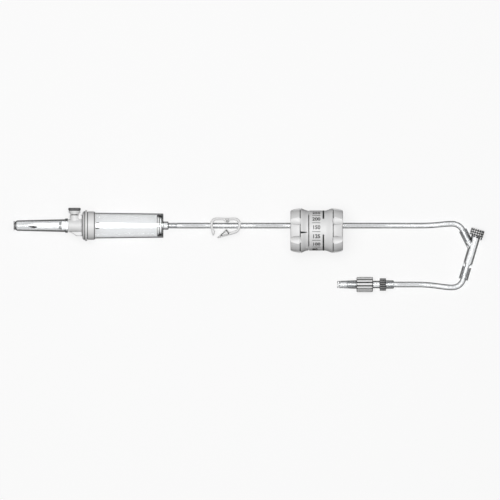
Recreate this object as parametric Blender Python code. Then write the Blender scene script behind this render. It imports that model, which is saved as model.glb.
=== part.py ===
"""IV infusion set: vented spike, drip chamber, pinch clamp, rotary regulator, Y-site and luer lock.

The set lies on a flat surface at z = 0. Its line runs along X, from the spike at -X to the Y-site
at +X, and comes back to the luer lock. Every turned piece is a profile of (x, radius) points, spun
about the local X axis of its assembly.
"""

import math

import bmesh
import bpy
from mathutils import Matrix, Vector

MM = 0.001

# Fits shared by the whole set
SEAT_GAP = 0.3 * MM
SLIP = 0.15 * MM
RUNNING = 0.4 * MM
EDGE = 0.3 * MM
SOFT_EDGE = 0.5 * MM
WIDE_EDGE = 0.7 * MM

# Tubing, and the glued sockets that take it
TUBE_RADIUS = 2.05 * MM
TUBE_SLIP = 0.2 * MM
SOCKET_DEPTH = 9.4 * MM

# Places of the assemblies on the surface
LINE_Y = 17.7 * MM
SKIRT_X = -112.4 * MM
CLAMP_X = -16.6 * MM
REGULATOR_X = 43.4 * MM
Y_SITE_PLACE = Vector((156.3, -21.57, 0.0)) * MM
Y_SITE_LEAN = math.radians(16.5)
LUER_X = 78.4 * MM
LUER_Y = -25.3 * MM

# Piercing spike, from the hub to its point
SPIKE_RADIUS = 2.4 * MM
SPIKE_LENGTH = 31.0 * MM
SPIKE_POINT = 9.0 * MM
PLUG_RADIUS = 3.25 * MM
PLUG_LENGTH = 4.8 * MM
PLUG_FLARE = 2.1 * MM
BEVEL_LENGTH = 12.0 * MM
LUMEN_OFFSET = 0.95 * MM
FLUID_LUMEN_RADIUS = 0.8 * MM
AIR_LUMEN_RADIUS = 0.65 * MM

# Hub, dome flange and skirt of the same moulding
HUB_RADIUS = 4.8 * MM
HUB_LENGTH = 9.85 * MM
DOME_FACE_RADIUS = 8.0 * MM
DOME_DEPTH = 2.1 * MM
RING_RADIUS = 11.17 * MM
RING_WIDTH = 1.85 * MM
SKIRT_WALL = 0.76 * MM
SKIRT_LENGTH = 5.7 * MM
FLANGE_WALL = 1.6 * MM
NOZZLE_REACH = 2.8 * MM
NOZZLE_RADIUS = 2.55 * MM
NOZZLE_BORE = 1.65 * MM
RIB_THICKNESS = 2.0 * MM
FIN_HEIGHT = 7.6 * MM

# Air vent on the side of the hub
VENT_FROM_HUB_FACE = 4.43 * MM
VENT_RADIUS = 3.4 * MM
VENT_HEIGHT = 8.1 * MM
VENT_BORE = 1.3 * MM
VENT_CUP_WALL = 1.15 * MM
VENT_CUP_DEPTH = 3.9 * MM
VENT_FILTER_THICKNESS = 0.6 * MM
VENT_STEM_LENGTH = 2.4 * MM
VENT_CAP_NECK = 0.9 * MM
VENT_CAP_LIP = 1.6 * MM
VENT_CAP_LIP_RADIUS = 4.27 * MM
VENT_CAP_DISC = 2.1 * MM
VENT_CAP_RADIUS = 4.53 * MM

# Cover over the spike
COVER_LENGTH = 39.7 * MM
COVER_RIM_RADIUS = 5.35 * MM
COVER_RIM_WIDTH = 2.0 * MM
COVER_ROOT_RADIUS = 4.65 * MM
COVER_END_RADIUS = 3.85 * MM
COVER_BOSS_RADIUS = 3.45 * MM
COVER_BOSS_LENGTH = 2.6 * MM
COVER_END_WALL = 1.0 * MM
COVER_END_BORE = 2.95 * MM
COVER_END_CONE = 1.0 * MM
COVER_BOSS_RIBS = 12
COVER_RIB_HEIGHT = 0.25 * MM

# Drip chamber
CHAMBER_RADIUS = 9.42 * MM
CHAMBER_END_RADIUS = 8.8 * MM
CHAMBER_WALL = 0.62 * MM
CHAMBER_REACH = 49.8 * MM

# Filter and outlet in the foot of the chamber
OUTLET_PLATE = 0.9 * MM
CAGE_LENGTH = 3.5 * MM
CAGE_RIM = 0.35 * MM
CAGE_DEPTH = 0.9 * MM
FIRST_POST_HALF = 35.0
SECOND_POST_HALF = 43.0
DISC_THICKNESS = 0.8 * MM
STUB_RADIUS = 2.96 * MM
STUB_LENGTH = 3.7 * MM
SPIGOT_ROOT_RADIUS = 1.9 * MM
SPIGOT_TIP_RADIUS = 1.5 * MM
SPIGOT_LENGTH = 6.35 * MM
OUTLET_BORE = 1.0 * MM

# Pinch clamp, one bent strip seen on its edge
CLAMP_WIDTH = 9.0 * MM
CLAMP_STRIP = 1.95 * MM
CLAMP_LEFT = -11.7 * MM
CLAMP_RIGHT = 10.6 * MM
CLAMP_TOP = 6.1 * MM
CLAMP_SAG = 0.55 * MM
CLAMP_HOLE_SLIP = 0.4 * MM
JAW_CLEARANCE = 0.3 * MM
UPPER_JAW_ROOT = (-2.1 * MM, 2.5 * MM)
UPPER_JAW_TIP = (-0.6 * MM, 1.8 * MM)
LOWER_JAW_FOOT = 2.4 * MM
CATCH_TIP = Vector((1.8, -8.0)) * MM
CATCH_BARB = [Vector(p) * MM for p in ((2.6, -3.1), (3.5, -3.9), (2.9, -6.4))]
LEVER_END = Vector((-7.5, -9.5)) * MM
LEVER_RISE = 4.8 * MM
RECESS_DEPTH = 2.6 * MM
RECESS_CORNERS = [Vector(p) * MM for p in ((-0.3, -3.9), (1.4, -5.9), (-4.0, -7.3))]

# Rotary flow regulator
WAIST_RADIUS = 14.6 * MM
RIDGE_RADIUS = 16.2 * MM
END_ROUNDING = 0.9 * MM
RIDGE_FROM_END = 7.1 * MM
RIDGE_FALL = 6.1 * MM
WAIST_LAND = 0.6 * MM
BODY_LENGTH = 13.2 * MM
DIAL_LENGTH = 25.1 * MM
SCALLOPS = 7
SCALLOP_RADIUS = 4.9 * MM
SCALLOP_PAST_RIDGE = 1.3 * MM
SCALLOP_DOME = 2.6 * MM
LINE_OFFSET = 3.6 * MM
DIAL_DEPTH = 3.0 * MM
END_CAP_THICKNESS = 2.0 * MM
END_CAP_INSET = 1.5 * MM
CORE_LUMEN = 1.2 * MM
PORT_RADIUS = 0.8 * MM
METER_PLANE = 12.0 * MM
METER_WIDTH = 5.0 * MM
METER_DEPTH = 0.7 * MM
METER_ECCENTRICITY = 0.3 * MM
PORT_SPREAD = 0.6 * MM
SEAL_FROM_METER = 6.0 * MM
SEAL_SECTION = 0.75 * MM
SEAL_GROOVE_DEPTH = 1.4 * MM
SEAL_GROOVE_WIDTH = 2.2 * MM

# Y-site
Y_BODY_RADIUS = 3.32 * MM
Y_BODY_LENGTH = 35.6 * MM
Y_LUMEN = 1.8 * MM
Y_THROAT = 1.0 * MM
Y_THROAT_LENGTH = 0.9 * MM
Y_FLARE = 2.4 * MM
Y_BEAD_RADIUS = 3.85 * MM
Y_BEAD_WIDTH = 1.4 * MM
ARM_RADIUS = 2.95 * MM
ARM_LENGTH = 15.4 * MM
ARM_ANGLE = math.radians(43.5)
ARM_FROM_TOP = 12.35 * MM
ARM_LUMEN = 1.2 * MM
ARM_FUNNEL = 3.0 * MM
BUNG_RADIUS = 5.1 * MM
BUNG_SKIRT = 2.8 * MM
BUNG_TOP = 2.3 * MM
BUNG_PLUG = 4.0 * MM
TAB_LENGTH = 2.2 * MM
TAB_THICKNESS = 1.4 * MM
TAB_WIDTH = 3.4 * MM
TAB_ROOT = 1.0 * MM

# Luer lock
CONE_TIP_RADIUS = 1.97 * MM
CONE_TAPER = 0.03
CONE_REACH = 7.0 * MM
LUER_LUMEN = 1.1 * MM
NUT_RADIUS = 5.55 * MM
NUT_LENGTH = 12.0 * MM
NUT_BORE = 4.0 * MM
NUT_END_WALL = 1.6 * MM
NUT_RIBS = 14
NUT_RIB_HEIGHT = 0.45 * MM
COLLAR_RADIUS = 3.6 * MM
COLLAR_WIDTH = 1.0 * MM
NECK_RADIUS = 2.7 * MM
NECK_LENGTH = 4.8 * MM
BUSH_RADIUS = 3.05 * MM
BUSH_TAIL = 5.7 * MM
GRIP_RADIUS = 4.65 * MM
GRIP_WIDTH = 4.75 * MM
GRIP_RIBS = 16
GRIP_RIB_HEIGHT = 0.35 * MM
CAP_LENGTH = 13.8 * MM
CAP_ROOT_RADIUS = 3.1 * MM
CAP_TIP_RADIUS = 2.6 * MM
CAP_END_WALL = 1.4 * MM
CAP_IN_NUT = 4.0 * MM
CAP_SPIGOT_RADIUS = 3.2 * MM
CAP_FLUTES = 8
CAP_FLUTE_DEPTH = 0.28 * MM
CAP_FLUTE_RUN = 0.7

# Facets of the round pieces
FINE_SIDES = 35
ROUND_SIDES = 32
MEDIUM_SIDES = 24
SMALL_SIDES = 16
BORE_SIDES = 12
SCALLOP_SIDES = 14
SEAL_SIDES = 6
SMALL_CORNER = 0.45 * MM
SHARP_ANGLE = math.radians(35)
ARC_STEP = math.radians(24)
ROUTE_STEP = 3.0 * MM

# Sizes that follow from the ones above
SKIRT_RADIUS = CHAMBER_RADIUS + SLIP + SKIRT_WALL
DOME_X = -(SKIRT_LENGTH + RING_WIDTH + DOME_DEPTH)
HUB_X = DOME_X - HUB_LENGTH
VENT_X = HUB_X + VENT_FROM_HUB_FACE
CHAMBER_AXIS_Z = RING_RADIUS
CLAMP_AXIS_Z = CLAMP_WIDTH / 2
SOCKET_RADIUS = TUBE_RADIUS + TUBE_SLIP
REGULATOR_Y = LINE_Y - LINE_OFFSET
SCALLOP_CENTRE = WAIST_RADIUS + SCALLOP_RADIUS
CORE_RADIUS = WAIST_RADIUS - DIAL_DEPTH
DIAL_BORE = CORE_RADIUS + RUNNING
END_CAP_RADIUS = WAIST_RADIUS - END_CAP_INSET
ARM_JUNCTION = Y_BODY_LENGTH - ARM_FROM_TOP
CORE_END = DIAL_LENGTH - END_CAP_THICKNESS - SEAT_GAP
Y_SITE_Z = BUNG_RADIUS
LUER_Z = NUT_RADIUS
BUSH_X = NUT_LENGTH + NECK_LENGTH
BUSH_END = BUSH_X + GRIP_WIDTH + BUSH_TAIL


def rest_height():
    """How high the regulator's axis is when it stands on the rims of its two lowest scallops."""
    lowest = 0.0
    for k in range(21):
        past = SCALLOP_PAST_RIDGE * k / 20
        share = max(0.0, 1.0 - (SCALLOP_PAST_RIDGE - past) / SCALLOP_DOME)
        section = SCALLOP_RADIUS * math.sqrt(1.0 - share**2)
        rise = (RIDGE_RADIUS - WAIST_RADIUS) * (0.5 + 0.5 * math.cos(math.pi * past / RIDGE_FALL))
        radius = WAIST_RADIUS + rise
        cosine = (SCALLOP_CENTRE**2 + radius**2 - section**2) / (2 * SCALLOP_CENTRE * radius)
        lowest = max(lowest, radius * min(1.0, cosine))
    return lowest


REGULATOR_Z = rest_height()


# Routes of the three cords, in millimetres, from end to end
def upper_route():
    """Chamber outlet, down to the clamp, level through it, and up to the regulator."""
    start = SKIRT_X + CHAMBER_REACH + STUB_LENGTH + SPIGOT_LENGTH + SEAT_GAP
    end = REGULATOR_X - BODY_LENGTH + SOCKET_DEPTH - SEAT_GAP
    heights = [
        (-48.0, 11.0),
        (-43.0, 9.4),
        (-38.0, 6.6),
        (-33.5, 4.9),
        (-29.5, 4.5),
        (-22.0, 4.5),
        (-14.0, 4.5),
        (-6.0, 4.5),
        (0.5, 4.5),
        (5.0, 5.0),
        (9.5, 6.7),
        (14.5, 9.8),
        (19.5, 13.2),
        (24.5, 15.5),
    ]
    middle = [Vector((x * MM, LINE_Y, z * MM)) for x, z in heights]
    first = Vector((start, LINE_Y, CHAMBER_AXIS_Z))
    mouth = Vector((REGULATOR_X - BODY_LENGTH, LINE_Y, REGULATOR_Z))
    last = Vector((end, LINE_Y, REGULATOR_Z))
    return [first, *middle, mouth, last]


def middle_route():
    """Regulator outlet, down to the surface, and round the bend into the arm of the Y-site."""
    start = REGULATOR_X + CORE_END - SOCKET_DEPTH + END_CAP_THICKNESS + 2 * SEAT_GAP
    points = [
        (72.5, 17.7, 15.5),
        (77.0, 17.7, 13.6),
        (82.0, 17.7, 10.6),
        (87.0, 17.7, 7.3),
        (92.0, 17.7, 4.5),
        (97.5, 17.7, 2.7),
        (103.5, 17.7, 2.15),
        (112.0, 17.7, 2.1),
        (120.0, 17.7, 2.1),
        (127.0, 17.75, 2.1),
        (133.5, 17.95, 2.15),
        (139.3, 18.45, 2.45),
        (144.2, 18.9, 3.2),
        (148.4, 19.03, 4.15),
        (151.4, 18.47, 4.75),
        (154.05, 16.87, 5.05),
    ]
    middle = [Vector(p) * MM for p in points]
    first = Vector((start, LINE_Y, REGULATOR_Z))
    mouth = Vector((REGULATOR_X + DIAL_LENGTH, LINE_Y, REGULATOR_Z))
    inside = [arm_point(depth) for depth in (0.0, SOCKET_DEPTH / 3, SOCKET_DEPTH - SEAT_GAP)]
    return [first, mouth, *middle, *inside]


def lower_route():
    """Foot of the Y-site, round the bend to the surface, and back to the luer lock."""
    points = [
        (155.2, -23.93, 5.0),
        (153.4, -25.8, 4.7),
        (151.0, -27.0, 4.2),
        (148.4, -27.44, 3.6),
        (143.8, -27.2, 2.7),
        (138.5, -26.5, 2.2),
        (132.5, -25.8, 2.1),
        (126.5, -25.4, 2.15),
        (121.0, -25.3, 2.7),
        (115.8, -25.3, 4.05),
        (110.7, -25.3, 5.3),
    ]
    middle = [Vector(p) * MM for p in points]
    foot = Y_SITE_PLACE + Vector((0.0, 0.0, Y_SITE_Z))
    inside = [foot + foot_direction() * depth for depth in (SOCKET_DEPTH - SEAT_GAP, SOCKET_DEPTH / 3, 0.0)]
    mouth = Vector((LUER_X + BUSH_END, LUER_Y, LUER_Z))
    end = mouth - Vector((SOCKET_DEPTH - SEAT_GAP, 0.0, 0.0))
    return [*inside, *middle, mouth, end]


def foot_direction():
    """The way up the main body of the Y-site."""
    return Vector((math.sin(Y_SITE_LEAN), math.cos(Y_SITE_LEAN), 0.0))


def arm_point(depth):
    """A point on the axis of the Y-site's arm, this deep inside its mouth."""
    up = foot_direction()
    out = Matrix.Rotation(ARM_ANGLE, 3, "Z") @ up
    point = Y_SITE_PLACE + up * ARM_JUNCTION + out * (ARM_LENGTH - depth)
    point.z = Y_SITE_Z
    return point


# Modelling helpers
def clear_scene():
    """Removes what a new file starts with."""
    for item in list(bpy.data.objects):
        bpy.data.objects.remove(item)


def finish(name, colour, roughness, alpha=1.0):
    """A Principled material."""
    material = bpy.data.materials.new(name)
    material.use_nodes = True
    shader = material.node_tree.nodes["Principled BSDF"]
    shader.inputs["Base Color"].default_value = (*colour, 1.0)
    shader.inputs["Roughness"].default_value = roughness
    shader.inputs["Metallic"].default_value = 0.0
    shader.inputs["Alpha"].default_value = alpha
    return material


def frame(name, location, parent=None, turn=0.0):
    """An empty that carries one assembly."""
    empty = bpy.data.objects.new(name, None)
    empty.location = location
    empty.rotation_euler = (0.0, 0.0, turn)
    empty.parent = parent
    bpy.context.collection.objects.link(empty)
    return empty


def solid(name, mesh, carrier, material=None, location=(0.0, 0.0, 0.0), rotation=(0.0, 0.0, 0.0)):
    """An object from a bmesh, on its carrier."""
    bmesh.ops.recalc_face_normals(mesh, faces=mesh.faces)
    data = bpy.data.meshes.new(name)
    mesh.to_mesh(data)
    mesh.free()
    data.shade_smooth()
    data.set_sharp_from_angle(angle=SHARP_ANGLE)
    item = bpy.data.objects.new(name, data)
    item.parent = carrier
    item.location = location
    item.rotation_euler = rotation
    if material:
        data.materials.append(material)
    bpy.context.collection.objects.link(item)
    return item


def bridge(mesh, first, second):
    """Faces between two rings of the same spin; a ring of one vertex is a point on the axis."""
    sides = max(len(first), len(second))
    if sides == 1:
        return
    for i in range(sides):
        j = (i + 1) % sides
        corners = [first[i % len(first)], first[j % len(first)]]
        corners += [second[j % len(second)], second[i % len(second)]]
        mesh.faces.new(list(dict.fromkeys(corners)))


def spin(mesh, profile, sides, ripple=None, matrix=None, start=0.0):
    """Spins a closed profile of (x, radius) points about X into an existing bmesh."""
    rings = []
    for x, radius in profile:
        if radius <= 0.0:
            rings.append([mesh.verts.new((x, 0.0, 0.0))])
            continue
        ring = []
        for i in range(sides):
            angle = 2 * math.pi * (i + start) / sides
            r = ripple(x, radius, angle) if ripple else radius
            ring.append(mesh.verts.new((x, r * math.sin(angle), r * math.cos(angle))))
        rings.append(ring)
    if matrix:
        bmesh.ops.transform(mesh, matrix=matrix, verts=[v for ring in rings for v in ring])
    for first, second in zip(rings, rings[1:] + rings[:1]):
        bridge(mesh, first, second)


def turned(name, profile, sides, carrier, material=None, ripple=None, **place):
    """A turned piece."""
    mesh = bmesh.new()
    spin(mesh, profile, sides, ripple)
    return solid(name, mesh, carrier, material, **place)


def lathed_tool(name, profile, carrier, offset=0.0, sides=BORE_SIDES):
    """A stepped bar or bore along X, this far to +Y of the axis; its facets straddle the axes."""
    mesh = bmesh.new()
    spin(mesh, profile, sides, matrix=Matrix.Translation((0.0, offset, 0.0)), start=0.5)
    return solid(name, mesh, carrier)


def rod(name, start, end, radius, carrier, sides=BORE_SIDES):
    """A round bar from one point to another, for bosses and bores."""
    start, end = Vector(start), Vector(end)
    along = end - start
    matrix = Matrix.Translation(start) @ along.to_track_quat("X", "Z").to_matrix().to_4x4()
    mesh = bmesh.new()
    profile = [(0.0, 0.0), (0.0, radius), (along.length, radius), (along.length, 0.0)]
    spin(mesh, profile, sides, matrix=matrix, start=0.5)
    return solid(name, mesh, carrier)


def plate(name, outline, low, high, carrier, material=None):
    """A flat outline in the XY plane, raised from one height to another."""
    mesh = bmesh.new()
    bottom = [mesh.verts.new((x, y, low)) for x, y in outline]
    top = [mesh.verts.new((x, y, high)) for x, y in outline]
    mesh.faces.new(bottom)
    mesh.faces.new(top)
    bridge(mesh, bottom, top)
    return solid(name, mesh, carrier, material)


def rounded(corners):
    """The outline of (x, y, radius) corners, each turned into an arc of its radius."""
    outline = []
    count = len(corners)
    for i, (x, y, radius) in enumerate(corners):
        here = Vector((x, y))
        back = (Vector(corners[i - 1][:2]) - here).normalized()
        ahead = (Vector(corners[(i + 1) % count][:2]) - here).normalized()
        if radius <= 0.0:
            outline.append(here)
            continue
        half = back.angle(ahead) / 2
        centre = here + (back + ahead).normalized() * (radius / math.sin(half))
        first = here + back * (radius / math.tan(half)) - centre
        last = here + ahead * (radius / math.tan(half)) - centre
        sweep = -first.angle_signed(last)
        steps = max(1, math.ceil(abs(sweep) / ARC_STEP))
        for k in range(steps + 1):
            outline.append(centre + Matrix.Rotation(sweep * k / steps, 2) @ first)
    return outline


def corner(x, radius, size, outward=1):
    """A rounded outer edge of a turned piece: it ends (outward 1) or starts (-1) a cylinder at x."""
    points = []
    steps = 1 if size < SMALL_CORNER else 2
    for k in range(steps + 1):
        angle = math.pi / 2 * k / steps
        points.append((x - outward * size * (1 - math.sin(angle)), radius - size * (1 - math.cos(angle))))
    return points if outward > 0 else points[::-1]


def combine(target, tool, operation):
    """Joins a tool to a piece, or cuts it out."""
    tool.hide_render = True
    tool.display_type = "WIRE"
    modifier = target.modifiers.new(tool.name, "BOOLEAN")
    modifier.operation = operation
    modifier.solver = "EXACT"
    modifier.object = tool


def join(target, tool):
    """Makes the tool part of the piece."""
    combine(target, tool, "UNION")


def cut(target, tool):
    """Cuts the tool's shape out of the piece."""
    combine(target, tool, "DIFFERENCE")


def ribs(count, height, first, last):
    """A ripple that sinks flats between round-topped ribs where the radius lies in a band."""

    def ripple(x, radius, angle):
        if not first <= radius <= last:
            return radius
        return radius - height * (0.5 - 0.5 * math.cos(count * angle)) ** 2

    return ripple


def smooth_line(route):
    """Points at an even step along a smooth curve through the route's points."""
    dense = []
    ends = [2 * route[0] - route[1], *route, 2 * route[-1] - route[-2]]
    for a, b, c, d in zip(ends, ends[1:], ends[2:], ends[3:]):
        for k in range(12):
            t = k / 12
            point = 2 * b + (c - a) * t + (2 * a - 5 * b + 4 * c - d) * t**2
            dense.append((point + (3 * b - a - 3 * c + d) * t**3) / 2)
    dense.append(route[-1])
    total = sum((b - a).length for a, b in zip(dense, dense[1:]))
    steps = round(total / ROUTE_STEP)
    line, travelled, wanted = [dense[0]], 0.0, total / steps
    for a, b in zip(dense, dense[1:]):
        length = (b - a).length
        while travelled + length >= wanted and len(line) < steps:
            line.append(a.lerp(b, (wanted - travelled) / length))
            wanted += total / steps
        travelled += length
    return [*line, dense[-1]]


def tubing(name, route, carrier, material):
    """A cord of tubing along a route, with filled ends."""
    points = smooth_line(route)
    curve = bpy.data.curves.new(name, "CURVE")
    curve.dimensions = "3D"
    curve.bevel_depth = TUBE_RADIUS
    curve.bevel_resolution = 2
    curve.use_fill_caps = True
    spline = curve.splines.new("POLY")
    spline.points.add(len(points) - 1)
    for target, point in zip(spline.points, points):
        target.co = (*point, 1.0)
    curve.materials.append(material)
    item = bpy.data.objects.new(name, curve)
    item.parent = carrier
    bpy.context.collection.objects.link(item)
    return item


# Spike, vent and cover
def spike_profile():
    """The spike from its point to its root inside the hub."""
    tip = HUB_X - SPIKE_LENGTH
    profile = [(tip, 0.0)]
    for k in range(1, 7):
        share = k / 6
        profile.append((tip + SPIKE_POINT * share, SPIKE_RADIUS * math.sin(math.pi / 2 * share)))
    profile.append((HUB_X - PLUG_LENGTH - PLUG_FLARE, SPIKE_RADIUS))
    profile.append((HUB_X - PLUG_LENGTH, PLUG_RADIUS))
    profile.append((HUB_X + FLANGE_WALL, PLUG_RADIUS))
    profile.append((HUB_X + FLANGE_WALL, 0.0))
    return profile


def hub_profile():
    """The hub, dome, ring and skirt outside, and the socket, hollow and drip nozzle inside."""
    floor = -SKIRT_LENGTH
    nozzle_root = VENT_X + VENT_BORE + FLANGE_WALL
    socket = CHAMBER_RADIUS + SLIP
    seat = CHAMBER_RADIUS - CHAMBER_WALL - SLIP
    profile = [(HUB_X, 0.0)]
    profile += corner(HUB_X, HUB_RADIUS, EDGE, -1)
    profile += [(DOME_X, HUB_RADIUS), (DOME_X, DOME_FACE_RADIUS)]
    for k in range(1, 5):
        angle = math.pi / 2 * k / 5
        rise = RING_RADIUS - DOME_FACE_RADIUS
        x = DOME_X + DOME_DEPTH * (1 - math.cos(angle))
        profile.append((x, DOME_FACE_RADIUS + rise * math.sin(angle)))
    profile += corner(DOME_X + DOME_DEPTH, RING_RADIUS, EDGE, -1)[1:]
    profile += corner(floor, RING_RADIUS, EDGE)
    profile += [(floor, SKIRT_RADIUS)]
    profile += corner(0.0, SKIRT_RADIUS, SOFT_EDGE)
    profile += [(0.0, socket), (floor, socket), (floor, seat)]
    profile += [(DOME_X + FLANGE_WALL, DOME_FACE_RADIUS - FLANGE_WALL), (DOME_X + FLANGE_WALL, NOZZLE_RADIUS)]
    profile += [(NOZZLE_REACH, NOZZLE_RADIUS - SLIP), (NOZZLE_REACH, NOZZLE_BORE)]
    profile += [(nozzle_root, NOZZLE_BORE), (nozzle_root, 0.0)]
    return profile


def bevel_wedge(carrier):
    """The slanting cut that opens the spike's point upwards."""
    tip = HUB_X - SPIKE_LENGTH
    reach = 2 * SPIKE_RADIUS
    low, high = 0.1 * MM, SPIKE_RADIUS + SEAT_GAP
    slope = (high - low) / BEVEL_LENGTH
    mesh = bmesh.new()
    side = [
        (tip - reach, low - slope * reach),
        (tip + BEVEL_LENGTH, high),
        (tip + BEVEL_LENGTH, high + reach),
        (tip - reach, high + reach),
    ]
    near = [mesh.verts.new((x, -reach, z)) for x, z in side]
    far = [mesh.verts.new((x, reach, z)) for x, z in side]
    mesh.faces.new(near)
    mesh.faces.new(far)
    bridge(mesh, near, far)
    return solid("spike_bevel", mesh, carrier)


def spike_hub(carrier, material):
    """One moulding: spike, hub, vent boss, fin, dome flange, skirt and drip nozzle."""
    hub = turned("spike_hub", hub_profile(), ROUND_SIDES, carrier, material)
    join(hub, lathed_tool("spike_core", spike_profile(), carrier, sides=SMALL_SIDES))
    join(hub, rod("vent_boss", (VENT_X, 0, 0), (VENT_X, VENT_HEIGHT, 0), VENT_RADIUS, carrier, SMALL_SIDES))
    half = RIB_THICKNESS / 2
    inside = DOME_X + FLANGE_WALL / 2
    web = [(VENT_X, 0.0), (inside, 0.0), (inside, VENT_HEIGHT), (VENT_X, VENT_HEIGHT)]
    join(hub, plate("vent_web", web, -half, half, carrier))
    slant = FIN_HEIGHT - HUB_RADIUS
    fin_start = HUB_X + slant / 2
    fin = [(fin_start, 0.0), (inside, 0.0), (inside, -FIN_HEIGHT), (fin_start + 1.5 * slant, -FIN_HEIGHT)]
    fin.append((fin_start, -HUB_RADIUS + SLIP))
    join(hub, plate("hub_fin", fin, -half, half, carrier))
    tip = HUB_X - SPIKE_LENGTH
    nozzle_root = VENT_X + VENT_BORE + FLANGE_WALL
    fluid = (tip - PLUG_LENGTH, -LUMEN_OFFSET, 0), (nozzle_root + SLIP, -LUMEN_OFFSET, 0)
    cut(hub, rod("fluid_lumen", *fluid, FLUID_LUMEN_RADIUS, carrier))
    air = (tip - PLUG_LENGTH, LUMEN_OFFSET, 0), (VENT_X + VENT_BORE / 2, LUMEN_OFFSET, 0)
    cut(hub, rod("air_lumen", *air, AIR_LUMEN_RADIUS, carrier))
    above = VENT_HEIGHT + SEAT_GAP
    cup_floor = VENT_HEIGHT - VENT_CUP_DEPTH
    cup = VENT_RADIUS - VENT_CUP_WALL
    way = [(LUMEN_OFFSET, 0.0), (LUMEN_OFFSET, VENT_BORE), (cup_floor, VENT_BORE)]
    way += [(cup_floor, cup), (above, cup), (above, 0.0)]
    upright = {"location": (VENT_X, 0.0, 0.0), "rotation": (0.0, 0.0, math.pi / 2)}
    cut(hub, turned("vent_way", way, SMALL_SIDES, carrier, **upright))
    cut(hub, bevel_wedge(carrier))
    return hub


def vent_pieces(carrier, white, filter_white):
    """The vent's filter disc, and the cap that plugs into the boss."""
    cup = VENT_RADIUS - VENT_CUP_WALL
    stem = cup - SLIP
    upright = {"location": (VENT_X, 0.0, 0.0), "rotation": (0.0, 0.0, math.pi / 2)}
    low = VENT_HEIGHT - VENT_CUP_DEPTH + SEAT_GAP
    disc = [(low, 0.0), (low, stem), (low + VENT_FILTER_THICKNESS, stem), (low + VENT_FILTER_THICKNESS, 0.0)]
    turned("vent_filter", disc, SMALL_SIDES, carrier, filter_white, **upright)
    seat = VENT_HEIGHT + SEAT_GAP
    lip = seat + VENT_CAP_NECK
    top = lip + VENT_CAP_LIP + VENT_CAP_DISC
    profile = [(seat - VENT_STEM_LENGTH, 0.0), (seat - VENT_STEM_LENGTH, stem - SLIP), (seat, stem)]
    profile += [(seat, VENT_RADIUS), (lip, VENT_RADIUS), (lip, VENT_CAP_LIP_RADIUS)]
    profile += [(lip + VENT_CAP_LIP, VENT_CAP_LIP_RADIUS)]
    profile += corner(lip + VENT_CAP_LIP, VENT_CAP_RADIUS, EDGE, -1)
    profile += corner(top, VENT_CAP_RADIUS, SOFT_EDGE)
    profile.append((top, 0.0))
    turned("vent_cap", profile, MEDIUM_SIDES, carrier, white, **upright)


def spike_cover(carrier, material):
    """The tapered cover over the spike, with a rim at its mouth and a ribbed boss at its end."""
    mouth = HUB_X - SEAT_GAP
    end = mouth - COVER_LENGTH
    shoulder = end + COVER_BOSS_LENGTH
    chamfer = COVER_END_RADIUS - COVER_BOSS_RADIUS
    bore = PLUG_RADIUS + SLIP
    profile = [(end, 0.0)]
    profile += corner(end, COVER_BOSS_RADIUS, EDGE, -1)
    profile += [(shoulder - chamfer, COVER_BOSS_RADIUS), (shoulder, COVER_END_RADIUS)]
    profile += [(mouth - COVER_RIM_WIDTH, COVER_ROOT_RADIUS)]
    profile += corner(mouth - COVER_RIM_WIDTH, COVER_RIM_RADIUS, EDGE, -1)
    profile += corner(mouth, COVER_RIM_RADIUS, EDGE)
    profile += [(mouth, bore), (mouth - PLUG_LENGTH - SEAT_GAP, bore)]
    floor = end + COVER_END_WALL
    profile += [(floor + COVER_END_CONE, COVER_END_BORE), (floor, COVER_END_BORE - COVER_END_CONE)]
    profile.append((floor, 0.0))

    def boss_ribs(x, radius, angle):
        if x < shoulder - chamfer + SLIP and radius > COVER_END_BORE:
            return radius - COVER_RIB_HEIGHT * (0.5 - 0.5 * math.cos(COVER_BOSS_RIBS * angle))
        return radius

    return turned("spike_cover", profile, COVER_BOSS_RIBS * 2, carrier, material, boss_ribs)


# Drip chamber, filter and outlet
def chamber_radius(x):
    """The chamber's outer radius at a distance past the skirt."""
    share = max(0.0, x) / CHAMBER_REACH
    return CHAMBER_RADIUS + (CHAMBER_END_RADIUS - CHAMBER_RADIUS) * share


def drip_chamber(carrier, clear):
    """The tapered clear barrel, its top in the skirt."""
    top = -SKIRT_LENGTH + SEAT_GAP
    end = CHAMBER_REACH
    profile = [(top, CHAMBER_RADIUS - CHAMBER_WALL), (top, CHAMBER_RADIUS), (0.0, CHAMBER_RADIUS)]
    profile += [(end / 2, chamber_radius(end / 2)), (end - EDGE, CHAMBER_END_RADIUS)]
    profile += [(end, CHAMBER_END_RADIUS - EDGE), (end, CHAMBER_END_RADIUS - CHAMBER_WALL)]
    profile += [(end / 2, chamber_radius(end / 2) - CHAMBER_WALL), (0.0, CHAMBER_RADIUS - CHAMBER_WALL)]
    return turned("drip_chamber", profile, ROUND_SIDES, carrier, clear)


def chamber_outlet(carrier, clear):
    """The foot plate of the chamber, with the stub and the spigot that the tubing is pushed on."""
    end = CHAMBER_REACH
    inner = CHAMBER_END_RADIUS - CHAMBER_WALL - SLIP
    stub = end + STUB_LENGTH
    tip = stub + SPIGOT_LENGTH
    profile = [(end - OUTLET_PLATE, OUTLET_BORE), (end - OUTLET_PLATE, inner)]
    profile += [(end, inner), (end, STUB_RADIUS)]
    profile += corner(stub, STUB_RADIUS, SOFT_EDGE)
    profile += [(stub, SPIGOT_ROOT_RADIUS), (tip, SPIGOT_TIP_RADIUS), (tip, OUTLET_BORE)]
    return turned("chamber_outlet", profile, MEDIUM_SIDES, carrier, clear)


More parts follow.
